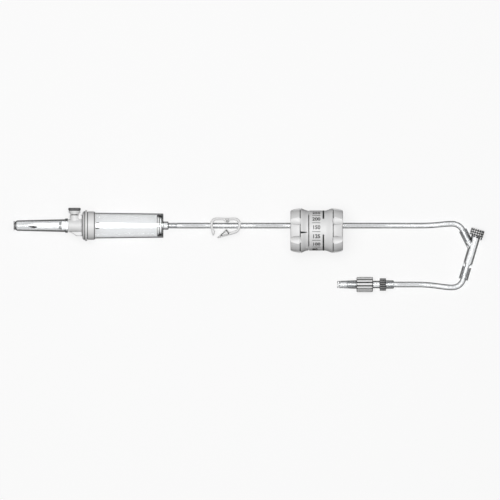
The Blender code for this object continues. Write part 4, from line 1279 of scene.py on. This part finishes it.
@dataclass
class Regulator(Assembly):
    """The dial regulator, with its local origin on the axis, between the two halves."""

    origin: Place = (43.4, 14.1, 16.157)
    waist: float = 14.6
    ridge: float = 16.2
    rounding: float = 0.9
    ridge_from_end: float = 7.1
    fall: float = 6.1
    body_length: float = 13.2
    dial_length: float = 25.1
    scallops: int = 7
    scallop_radius: float = 4.2
    scallop_floor: float = 14.3
    scallop_past: float = 1.3
    scallop_dome: float = 2.6
    offset: float = 3.6
    core: float = 11.6
    core_end: float = 22.8
    seal_floor: float = 10.2
    seal_places: Pair = (6.0, 18.0)
    socket: float = 2.25
    lumen: float = 1.2
    lumen_depths: Pair = (9.4, 7.1)
    metering: Pair = (11.4, 12.6)
    dial_bore: float = 13.25
    labels: tuple[str, ...] = tuple("0 5 10 20 40 60 80 100 125 150 200 250".split())
    label_step: float = 26.0
    label_turn: float = 9.8
    label_height: float = 2.9
    label_x: float = 2.75
    tick: Pair = (2.7, 8.6)
    tick_half: float = 0.19
    ring_line: Pair = (10.3, 11.4)
    ring_arc: Pair = (36.0, 348.2)
    pointer: Pair = (-5.9, 4.8)
    pointer_half: Pair = (0.8, 0.55)
    pointer_turn: float = -4.9
    sides: int = 140

    @property
    def body_ridge(self) -> float:
        """Where the pointer half's ridge stands."""
        return -self.body_length + self.ridge_from_end

    @property
    def body_fall(self) -> float:
        """How far the pointer half's ridge takes to fall to the waist."""
        return self.body_length - self.ridge_from_end - 0.6

    def build(self) -> None:
        """Builds the two halves, the marks and the end cap."""
        self.body()
        self.dial()
        self.end_cap()
        self.marks()
        keep("inlet_seal", SEAL)
        keep("outlet_seal", SEAL)

    def slope(self, share: float) -> float:
        """The radius at a share of the way from a ridge down to the waist."""
        return self.waist + (self.ridge - self.waist) * (0.5 + 0.5 * math.cos(math.pi * share))

    def hump(self, end: float, ridge: float, fall: float, inside: float) -> list[tuple]:
        """The outside of one half.

        Args:
            end: The end face.
            ridge: Where the ridge stands.
            fall: How far the ridge takes to fall to the waist.
            inside: The end at the parting plane.

        Returns:
            (x, radius) points from the end face to the parting plane.
        """
        way = 1 if ridge > end else -1
        rise, rounding = self.ridge - self.waist, self.rounding
        points = [(end, self.waist - rounding)]
        for cosine, sine in quarter(5)[:-1]:
            radius = self.waist - rounding + (rounding + 0.25 * rise) * sine
            points.append((end + way * rounding * (1 - cosine), radius))
        for k, (_, sine) in enumerate(quarter(12), 1):
            x = end + way * (rounding + (self.ridge_from_end - rounding) * k / 12)
            points.append((x, self.waist + rise * (0.25 + 0.75 * sine)))
        points += [(ridge + way * fall * k / 16, self.slope(k / 16)) for k in range(1, 17)]
        return [*points, (inside, self.waist)]

    def scallop_tools(self, ridge: float, end: float) -> Mesh:
        """Domed bars that sink the finger scallops from the end face to just past the ridge."""
        way = 1 if end > ridge else -1
        stop = ridge - way * self.scallop_past
        outline = [(stop, 0.0)]
        for cosine, sine in quarter(12):
            x = stop + way * self.scallop_dome * (1 - cosine)
            outline.append((x, self.scallop_radius * sine))
        beyond = end + way * self.scallop_radius
        outline += [(beyond, self.scallop_radius), (beyond, 0.0)]
        mesh = bmesh.new()
        centre = shift(0.0, 0.0, self.scallop_floor + self.scallop_radius)
        for k in range(self.scallops):
            place = swing(360 * (k + 0.5) / self.scallops, "X") @ centre
            spun(outline, 64, matrix=place, mesh=mesh)
        return mesh

    def lines(self, ridge: float, parting: float) -> list[Tool]:
        """The fine grooves along the ridge and beside the parting plane, lined with painted shade.
        """
        places = ((ridge, 0.62, self.ridge - 0.22), (parting, 0.36, self.waist - 0.25))
        rings = [groove(x, wide, low, self.ridge + 1.0, self.sides) for x, wide, low in places]
        return [cut(ring, PAINTED_SHADE) for ring in rings]

    def bore(self, outline: Outline) -> Tool:
        """A stepped bore along the tubing's line, lined with painted shade."""
        return cut(spun(outline, 32, start=0.5, matrix=shift(0.0, self.offset)), PAINTED_SHADE)

    def body(self) -> None:
        """The pointer half, one moulding with the core."""
        end, ridge, core = -self.body_length, self.body_ridge, self.core
        outline = [(end, 0.0), *self.hump(end, ridge, self.body_fall, 0.0), (0.0, core)]
        for place in self.seal_places:
            low, high = place - 1.1, place + 1.1
            outline += [(low, core), (low, self.seal_floor), (high, self.seal_floor), (high, core)]
        outline += [(self.core_end, core), (self.core_end, 0.0)]
        first, last = end - 0.3, self.core_end + 0.3
        deep, floor = end + self.lumen_depths[0], self.core_end - self.lumen_depths[1]
        near, far = self.metering
        way_in = stepped(first, (deep, self.socket), (near, self.lumen))
        way_out = stepped(far, (floor, self.lumen), (last, self.socket))
        work = [*self.lines(ridge, -0.05), cut(self.scallop_tools(ridge, end))]
        work += [self.bore(way_in), self.bore(way_out)]
        mesh = spun(outline, self.sides)
        self.piece("pointer_half", mesh, Body.LINE, WHITE, Slot.WHITE, ["regulator_body"], work)

    def dial(self) -> None:
        """The turning half."""
        end, inside, bore = self.dial_length, 0.3, self.core + 0.4
        ridge = end - self.ridge_from_end
        outline = [(inside, bore), *reversed(self.hump(end, ridge, self.fall, inside))]
        outline += [(end, self.dial_bore), (self.core_end, self.dial_bore), (self.core_end, bore)]
        work = [*self.lines(ridge, inside + 0.05), cut(self.scallop_tools(ridge, end))]
        mesh = spun(outline, self.sides)
        self.piece("dial_half", mesh, Body.DIAL, WHITE, Slot.WHITE, ["regulator_dial"], work)

    def end_cap(self) -> None:
        """The plate that keeps the dial on the core."""
        low, high, radius = self.core_end + 0.3, self.dial_length, self.dial_bore - 0.15
        corners = [(low, 0.0, 0.0), (low, radius, 0.1), (high, radius, 0.35), (high, 11.2, 0.1)]
        corners += [(high - 0.3, 11.0, 0.1), (high - 0.3, 0.0, 0.0)]
        way = cut(bar((low - 1, self.offset, 0), (high + 1, self.offset, 0), self.socket, 32))
        mesh = turned(corners)
        self.piece("end_plate", mesh, Body.LINE, WHITE, Slot.WHITE, ["regulator_end_cap"], [way])

    def on_surface(self, x: float, angle: float, radius: float) -> Vector:
        """A point in metres, at an angle in radians from +Z towards +Y."""
        return Vector((x, radius * math.sin(angle), radius * math.cos(angle))) * MM

    def band(self, stations: Sequence[tuple], turns: int = 2, lift: float = 0.05) -> Mesh:
        """A thin printed band on the surface.

        Args:
            stations: (x, first angle, last angle, surface radius) rows, angles in degrees.
            turns: How many facets it has round the axis.
            lift: How far it stands proud.

        Returns:
            The band.
        """
        grids = []
        for height in (lift, -0.15):
            rows = []
            for x, first, last, radius in stations:
                step = (last - first) / turns
                angles = [math.radians(first + step * k) for k in range(turns + 1)]
                rows.append([self.on_surface(x, angle, radius + height) for angle in angles])
            grids.append(rows)
        return slab(*grids)

    def strip(self, ends: Pair, first: float, last: float) -> list[tuple]:
        """The stations of a band on the waist between two x and two angles."""
        return [(x, first, last, self.waist) for x in ends]

    def marks(self) -> None:
        """The pointer, the ring line, the numbers and the ticks."""
        start, length = self.pointer
        base, taper = self.pointer_half
        rows = []
        for k in range(25):
            x = start + length * k / 24
            radius = self.slope(min(1.0, max(0.0, (x - self.body_ridge) / self.body_fall)))
            half = math.degrees((base - taper * k / 24) / radius)
            rows.append((x, self.pointer_turn - half, self.pointer_turn + half, radius))
        self.piece("pointer_mark", self.band(rows, lift=0.03), Body.LINE, INK, Slot.BLACK)
        ring = self.band(self.strip(self.ring_line, *self.ring_arc), 120)
        self.piece("ring_line", ring, Body.DIAL, INK, Slot.BLACK)
        wide = math.degrees(self.tick_half / self.waist)
        for i, text in enumerate(self.labels):
            turn = self.label_turn + (i - self.labels.index("150")) * self.label_step
            self.number(i, text, turn)
            tick = turn - self.label_step / 2
            mesh = self.band(self.strip(self.tick, tick - wide, tick + wide))
            self.piece(f"tick_{i}", mesh, Body.DIAL, INK, Slot.BLACK)

    def number(self, index: int, text: str, turn: float) -> None:
        """One printed number, wrapped on the waist.

        Args:
            index: Its place in the scale.
            text: The number.
            turn: Its angle from +Z, in degrees.
        """
        height, strips = self.label_height, 8
        curve = bpy.data.curves.new(f"number_curve_{index}", "FONT")
        curve.body = text
        curve.size = height * 1.35 * MM
        curve.extrude = curve.offset = 0.1 * MM
        curve.resolution_u = 4
        item = linked(f"number_text_{index}", curve)
        mesh = bmesh.new()
        mesh.from_mesh(evaluated(item))
        bpy.data.objects.remove(item)
        bmesh.ops.remove_doubles(mesh, verts=mesh.verts, dist=0.001 * MM)
        for k in range(1, strips):
            parts = [*mesh.verts, *mesh.edges, *mesh.faces]
            level = (0, k * height / strips * MM, 0)
            bmesh.ops.bisect_plane(mesh, geom=parts, plane_co=level, plane_no=(0, 1, 0))
        for vertex in mesh.verts:
            u, v, w = vertex.co / MM
            angle = math.radians(turn) + (v - height / 2) / self.waist
            vertex.co = self.on_surface(self.label_x + u, angle, self.waist + w - 0.05)
        self.piece(f"number_{index}", mesh, Body.DIAL, INK, Slot.BLACK)


# Branch site


@dataclass
class BranchSite(Assembly):
    """The Y with its bung. The local origin is at the foot's mouth, +X up the main body."""

    origin: Place = (156.3, -21.57, 5.1)
    turn: float = 73.5
    radius: float = 3.32
    length: float = 35.6
    lumen: float = 2.2
    throat: float = 1.0
    socket: float = 2.25
    depth: float = 9.4
    bead: float = 3.85
    arm_radius: float = 2.95
    arm_length: float = 15.4
    arm_angle: float = 43.5
    arm_throat: float = 1.2
    junction: float = 23.25
    gap: float = 0.3
    bung_radius: float = 5.0

    @property
    def arm(self) -> Matrix:
        """The arm's frame, with +X up the arm."""
        return shift(self.junction) @ swing(self.arm_angle)

    def build(self) -> None:
        """Builds the moulding and its bung."""
        bead, end = self.length - 1.4, self.length
        corners = [(0.0, 0.0, 0.0), (0.0, self.radius, 0.3), (bead - 0.3, self.radius, 0.2)]
        corners += [(bead, self.bead, 0.25), (end, self.bead, 0.35), (end, 0.0, 0.0)]
        work = [
            join(turned(self.arm_outline(), 56, matrix=self.arm)),
            cut(spun(self.arm_way(), 40, start=0.5, matrix=self.arm)),
            cut(spun(self.main_way(), 48, start=0.5)),
        ]
        mesh, nodes = turned(corners, 64), ["y_connector"]
        self.piece("branch_moulding", mesh, Body.LINE, MOULDED_CLEAR, Slot.CLEAR, nodes, work)
        self.bung()

    def arm_outline(self) -> list[Corner]:
        """The outside of the arm."""
        length, radius = self.arm_length, self.arm_radius
        return [(0.0, 0.0, 0.0), (0.0, radius, 0.0), (length, radius, 0.3), (length, 0.0, 0.0)]

    def arm_way(self) -> list[Pair]:
        """The arm's lumen and socket."""
        floor, far = self.arm_length - self.depth, self.arm_length + self.gap
        way = [(0.0, 0.0), (0.0, self.arm_throat), (floor - 3.0, self.arm_throat)]
        way += [(floor, self.lumen), (floor, self.socket), (far, self.socket), (far, 0.0)]
        return way

    def main_way(self) -> list[Pair]:
        """The main body's socket, throat and lumen."""
        throat, top = self.depth + 0.9, self.length + self.gap
        way = [(-self.gap, 0.0), (-self.gap, self.socket), (self.depth, self.socket)]
        way += [(self.depth, self.throat), (throat, self.throat), (throat + 2.4, self.lumen)]
        return [*way, (top, self.lumen), (top, 0.0)]

    def bung(self) -> None:
        """The rubber bung over the bead, with its plug and pull tab."""
        floor = self.length + self.gap
        skirt, top, low, under = floor - 2.8, floor + 2.3, floor - 4.0, self.length - 2.0
        radius, inner = self.bung_radius, 3.47
        corners = [(low, 0.0, 0.0), (low, 1.9, 0.3), (floor, 2.1, 0.1), (floor, 4.0, 0.1)]
        corners += [(under, 4.0, 0.1), (under, inner, 0.1), (skirt, inner, 0.15)]
        corners += [(skirt, radius, 0.4), (top, radius, 0.6), (top, 2.6, 0.1)]
        corners += [(top - 0.35, 2.4, 0.1), (top - 0.35, 0.0, 0.0)]
        start, end = skirt - 2.2, skirt + 1.0
        tab = [(start, -4.95, 0.5), (end, -4.95, 0.0), (end, -3.7, 0.0), (start, -3.7, 0.4)]
        work = [join(plate(rounded(tab), 1.7, 0.5))]
        mesh = turned(corners)
        self.piece("bung", mesh, Body.LINE, RUBBER, Slot.RUBBER, ["injection_bung"], work)

    def inner_end(self, arm: bool, depth: float) -> Place:
        """A point on the axis of one of the sockets.

        Args:
            arm: True for the arm's socket, and False for the foot's.
            depth: How deep inside the mouth, in millimetres.

        Returns:
            The point in the row frame, in millimetres.
        """
        local = Vector((depth, 0, 0))
        if arm:
            along = Vector((self.arm_length - depth, 0, 0))
            local = Vector((self.junction, 0, 0)) + swing(self.arm_angle) @ along
        return tuple(Vector(self.origin) + swing(self.turn) @ local)


# Luer lock


@dataclass
class LuerEnd(Assembly):
    """Cone, nut, grip ring and cap. The local origin is at the nut's open end."""

    origin: Place = (78.4, -25.3, 5.55)
    cone_tip: float = -7.0
    lumen: float = 1.1
    collar: Pair = (9.1, 10.1)
    collar_radius: float = 3.6
    nut_length: float = 12.0
    nut_radius: float = 5.55
    nut_bore: float = 4.0
    nut_mouth: float = 2.85
    nut_ribs: int = 14
    nut_groove: float = 0.8
    nut_turn: float = -10.0
    thread: float = 0.18
    neck: float = 2.7
    neck_bore: float = 1.8
    bush: float = 3.05
    bush_x: float = 16.8
    bush_end: float = 27.25
    socket: float = 2.25
    grip_radius: float = 4.65
    grip_bore: float = 3.2
    grip_groove: float = 0.5
    grip_ribs: int = 16
    cap_length: float = 13.8
    cap_flute: float = 0.14

    def build(self) -> None:
        """Builds the pieces."""
        self.cone()
        self.nut()
        self.grip()
        self.cap()

    def cone(self) -> None:
        """Male cone, collar, neck and bush."""
        end, tip, bush, lumen = self.bush_end, self.cone_tip, self.bush, self.lumen
        near, far = self.collar
        corners = [(tip, lumen, 0.1), (tip, 1.97, 0.2), (near, 2.45, 0.1)]
        corners += [(near, self.collar_radius, 0.2), (far, self.collar_radius, 0.2)]
        corners += [(far, self.neck, 0.2), (self.bush_x, self.neck, 0.1), (self.bush_x, bush, 0.1)]
        corners += [(end - 0.5, bush, 0.2), (end, bush - 0.5, 0.1), (end, self.socket, 0.05)]
        corners += [(end - 9.4, self.socket, 0.1), (end - 9.4, self.neck_bore, 0.1)]
        corners += [(far + 0.5, self.neck_bore, 0.3), (near - 0.1, lumen, 0.3)]
        mesh = turned(corners, 80)
        self.piece("cone_and_bush", mesh, Body.LINE, MOULDED_CLEAR, Slot.CLEAR, ["luer_body"])

    def nut(self) -> None:
        """The lock nut, with round-topped ribs and narrow grooves between them, darkened with
        painted shade.
        """
        length, bore, outer, mouth = self.nut_length, self.nut_bore, self.nut_radius, self.nut_mouth
        floor = length - 1.6
        corners = [(0.0, bore, 0.25), (0.0, outer, 0.8), (length, outer, 0.8)]
        outline = rounded([*corners, (length, mouth, 0.2), (floor, mouth, 0.1)], 10.0)
        gaps = [after[0] - before[0] for before, after in zip(outline, outline[1:])]
        wide = gaps.index(max(gaps))
        near, far = outline[wide], outline[wide + 1]
        outline[wide + 1 : wide + 1] = [near.lerp(far, k / 24) for k in (1, 2, 3, 21, 22, 23)]
        outline.append((floor, bore))
        for k in range(25):
            outline.append((floor - 0.3 - 8.2 * k / 24, bore + self.thread * (k % 4 in (1, 2))))

        def ribs(x: float, radius: float, angle: float) -> float:
            """Wide pill-shaped ribs with narrow grooves."""
            if radius < bore + 0.4:
                return radius
            turns = self.nut_ribs * (angle - math.radians(self.nut_turn)) / (2 * math.pi)
            across = 1.0 - abs(2 * (turns % 1.0) - 1.0)
            from_end = clamped(min(x, length - x) / 1.2)
            away = math.hypot((1.0 - across) / 0.72, 1.0 - from_end)
            share = clamped((away - 0.86) / 0.2)
            return radius - self.nut_groove * share * share * (3 - 2 * share)

        low, high = outer - 0.25, outer - 0.08
        # Painted shade in the grooves; the rib tops keep the nut's white.
        finish = RibbedPlastic("nut_plastic", low, high, 0.0, length, 0.02, 0.86, 1.0).material()
        mesh = spun(outline, self.nut_ribs * 20, ribs)
        self.piece("lock_nut_shell", mesh, Body.LOCK_NUT, finish, Slot.WHITE, ["luer_nut"])

    def grip(self) -> None:
        """The dark ring with fine ribs, whose tops are painted pale as a highlight."""
        start, end = self.bush_x + 0.15, self.bush_x + 4.75
        radius, bore = self.grip_radius, self.grip_bore
        corners = [(start, bore, 0.1), (start, radius, 0.35), (end, radius, 0.35), (end, bore, 0.1)]

        def ribs(x: float, radius: float, angle: float) -> float:
            """Narrow ribs on a lower band."""
            if radius < bore + 0.3:
                return radius
            top = abs(math.cos(self.grip_ribs / 2 * (angle + math.radians(11.25)))) ** 5
            return radius - self.grip_groove * (1.0 - top)

        # Painted highlight: the rib tops are painted pale on the dark ring.
        finish = RibbedPlastic("grip_plastic", radius - 0.22, radius - 0.05, start, end).material()
        mesh = turned(corners, self.grip_ribs * 14, ripple=ribs)
        self.piece("grip_shell", mesh, Body.LINE, finish, Slot.GRIP, ["grip_ring"])

    def cap(self) -> None:
        """The fluted protective cap over the cone."""
        face, seat = -0.3, 4.0
        end = face - self.cap_length
        floor = end + 1.4
        corners = [(end, 0.0, 0.0), (end, 2.6, 0.6)]
        corners += [(end + self.cap_length * k / 8, 2.6 + 0.5 * k / 8, 0.0) for k in range(1, 8)]
        corners += [(face, 3.1, 0.1), (face, 3.2, 0.05), (seat, 3.05, 0.2), (seat, 2.45, 0.1)]
        corners += [(self.cone_tip, 2.12, 0.1), (floor, 1.97, 0.4), (floor, 0.0, 0.0)]

        def flutes(x: float, radius: float, angle: float) -> float:
            """Long flutes that fade towards the nut."""
            if radius <= 2.45 or x > face - 0.15 or x < end + 0.15:
                return radius
            depth = self.cap_flute * min(1.0, (face - x) / (self.cap_length * 0.7))
            return radius - depth * abs(math.cos(4 * (angle - math.radians(22.5)))) ** 5

        mesh = turned(corners, 128, ripple=flutes)
        self.piece("tip_cap_shell", mesh, Body.TIP_CAP, CAP_MILKY, Slot.MILKY, ["luer_cap"])


# Tubing


@dataclass
class Tubing(Assembly):
    """One hollow length of tubing along a route."""

    origin: Place = (0.0, 0.0, 0.0)
    name: str = ""
    node: str = ""
    route: list[Place] = field(default_factory=list)
    radius: float = 2.05
    bore: float = 1.38
    above_floor: float = 0.03
    sides: int = 40
    step: float = 1.2

    def line(self) -> list[Vector]:
        """Points at an even step along a smooth curve through the route, in millimetres."""
        route = [Vector(point) for point in self.route]
        dense = []
        ends = [2 * route[0] - route[1], *route, 2 * route[-1] - route[-2]]
        for a, b, c, d in zip(ends, ends[1:], ends[2:], ends[3:]):
            for k in range(24):
                t = k / 24
                point = 2 * b + (c - a) * t + (2 * a - 5 * b + 4 * c - d) * t**2
                dense.append((point + (3 * b - a - 3 * c + d) * t**3) / 2)
        dense.append(route[-1])
        total = length_of(dense)
        steps = round(total / self.step)
        line, travelled = [dense[0]], 0.0
        for a, b in zip(dense, dense[1:]):
            length = (b - a).length
            while travelled + length >= len(line) * total / steps and len(line) < steps:
                line.append(a.lerp(b, (len(line) * total / steps - travelled) / length))
            travelled += length
        low = self.radius + self.above_floor
        return [Vector((x, y, max(z, low))) for x, y, z in (*line, dense[-1])]

    def wall(self, mesh: Mesh, line: list[Vector], radius: float) -> list[list]:
        """One wall of the tube.

        Args:
            mesh: The mesh to add it to.
            line: Points along the tube's middle.
            radius: The wall's radius.

        Returns:
            The wall's rings of vertices.
        """
        rings = []
        side = Vector((0.0, 0.0, 1.0))
        for i, point in enumerate(line):
            along = (line[min(i + 1, len(line) - 1)] - line[max(i - 1, 0)]).normalized()
            side = (side - along * side.dot(along)).normalized()
            other = along.cross(side)
            ring = []
            for k in range(self.sides):
                angle = 2 * math.pi * k / self.sides
                out = side * math.cos(angle) + other * math.sin(angle)
                ring.append(mesh.verts.new((point + out * radius) * MM))
            rings.append(ring)
        for first, second in zip(rings, rings[1:]):
            bridge(mesh, first, second)
        return rings

    def build(self) -> None:
        line = self.line()
        mesh = bmesh.new()
        outer, inner = (self.wall(mesh, line, radius) for radius in (self.radius, self.bore))
        for end in (0, -1):
            bridge(mesh, outer[end], inner[end])
        item = self.piece(self.name, mesh, Body.LINE, TUBE, Slot.TUBE, [self.node])
        length_of(line) * MM
        2 * self.radius * MM


def tubing_runs(site: BranchSite, regulator: Regulator, luer: LuerEnd) -> list[Tubing]:
    """The three lengths of tubing, on the same routes as the solids.

    Args:
        site: The branch site, for the ends in its sockets.
        regulator: The regulator, for the ends in its sockets.
        luer: The luer lock, for the end in its bush.

    Returns:
        The lengths, from the drip chamber to the luer lock.
    """
    line_y, seated = 17.7, 9.1
    depths = (0.0, site.depth / 3, site.depth - 0.3)
    x, _, height = regulator.origin
    level = [(-58.85, 11.17), (-52.25, 11.17), (-48.0, 11.0), (-43.0, 9.4), (-38.0, 6.6)]
    level += [(-33.5, 4.9), (-29.5, 4.5), (-22.0, 4.5), (-14.0, 4.5), (-6.0, 4.5), (0.5, 4.5)]
    level += [(5.0, 5.0), (9.5, 6.7), (14.5, 9.8), (19.5, 13.2), (24.5, 15.5)]
    mouth = x - regulator.body_length
    level += [(mouth, height), (mouth + seated, height)]
    upper = [(along, line_y, up) for along, up in level]

    level = [(x + regulator.core_end - 6.8, height), (x + regulator.dial_length, height)]
    level += [(72.5, 15.5), (77.0, 13.6), (82.0, 10.6), (87.0, 7.3), (92.0, 4.5), (97.5, 2.7)]
    level += [(103.5, 2.15), (112.0, 2.1), (120.0, 2.1)]
    middle = [(along, line_y, up) for along, up in level]
    middle += [(127.0, 17.75, 2.1), (133.5, 17.95, 2.15), (139.3, 18.45, 2.45)]
    middle += [(144.2, 18.9, 3.2), (148.4, 19.03, 4.15), (151.4, 18.47, 4.75)]
    middle.append((154.05, 16.87, 5.05))
    middle += [site.inner_end(True, depth) for depth in depths]

    lower = [site.inner_end(False, depth) for depth in reversed(depths)]
    lower += [(155.2, -23.93, 5.0), (153.4, -25.8, 4.7), (151.0, -27.0, 4.2), (148.4, -27.44, 3.6)]
    lower += [(143.8, -27.2, 2.7), (138.5, -26.5, 2.2), (132.5, -25.8, 2.1), (126.5, -25.4, 2.15)]
    lower += [(121.0, -25.3, 2.7), (115.8, -25.3, 4.05), (110.7, -25.3, 5.3)]
    start, lower_y, up = luer.origin
    bush = start + luer.bush_end
    lower += [(bush, lower_y, up), (bush - seated, lower_y, up)]
    runs = zip(("upper", "middle", "lower"), (upper, middle, lower))
    return [Tubing(name=f"{run}_tube", node=f"tubing_{run}", route=route) for run, route in runs]


# Studio


@dataclass
class Studio:
    """A pale floor, soft light and a camera that looks straight down."""

    width: float = 0.365
    centre: Pair = (0.00066, -0.00011)
    camera_height: float = 0.6
    floor_size: float = 3.0
    floor_level: float = 0.9
    white_share: float = 0.8
    key_place: Place = (-0.1, 0.12, 1.3)
    key_size: float = 0.85
    key_watts: float = 14.0
    sky: float = 0.2
    horizon: Pair = (-0.05, 0.9)

    def build(self) -> None:
        """Builds the floor, the lamp, the sky and the camera."""
        bpy.context.scene.view_settings.view_transform = "Standard"
        self.floor()
        self.lamp()
        self.world()
        data = bpy.data.cameras.new("camera")
        data.type = "ORTHO"
        data.ortho_scale = self.width
        camera = linked("camera", data)
        camera.location = (*self.centre, self.camera_height)
        bpy.context.scene.camera = camera

    def floor(self) -> None:
        """A plain pale floor that shows white and keeps the shadows."""
        mesh = bmesh.new()
        bmesh.ops.create_grid(mesh, x_segments=4, y_segments=4, size=self.floor_size)
        item = linked("floor", mesh_data("floor", mesh))
        shader = Shader("floor_paper")
        shader.dress(Base_Color=shade(self.floor_level), Roughness=0.95, Specular_IOR_Level=0.0)
        glow = shader.node("ShaderNodeEmission", {}, {"Strength": seen_straight(shader)})
        shader.surface(self.white_share, glow)
        item.data.materials.append(shader.material)

    def lamp(self) -> None:
        """A square soft lamp that faces the middle of the set."""
        data = bpy.data.lights.new("key", "AREA")
        data.shape = "SQUARE"
        data.size = self.key_size
        data.energy = self.key_watts
        item = linked("key", data)
        item.location = self.key_place
        item.rotation_euler = (-Vector(self.key_place)).to_track_quat("-Z", "Y").to_euler()

    def world(self) -> None:
        """A sky that is pale above and dim at the horizon, and white where the camera sees it."""
        world = bpy.data.worlds.new("studio")
        bpy.context.scene.world = world
        shader = SkyShader(world)
        place = shader.node("ShaderNodeTexCoord", {}, {}).outputs["Generated"]
        parts = shader.node("ShaderNodeSeparateXYZ", {}, {0: place})
        height = Signal(shader, parts.outputs[2]).between(*self.horizon)
        seen = seen_straight(shader)
        strength = seen + (1.0 - seen) * height * self.sky
        shader.feed(shader.background.inputs["Strength"], strength)
        shader.feed(shader.background.inputs["Color"], shade(1.0))


def main() -> None:
    """Builds the set and the studio."""
    logging.basicConfig(level=logging.INFO, format="%(name)s: %(message)s")
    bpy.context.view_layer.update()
    Studio().build()
    site, regulator, luer = BranchSite(), Regulator(), LuerEnd()
    for tube in tubing_runs(site, regulator, luer):
        tube.build()
    for assembly in (SpikeEnd(), DripChamber(), PinchClamp(), regulator, site, luer):
        log.info("building %s", type(assembly).__name__)
        assembly.build()
    bpy.context.view_layer.update()


if __name__ == "__main__":
    main()
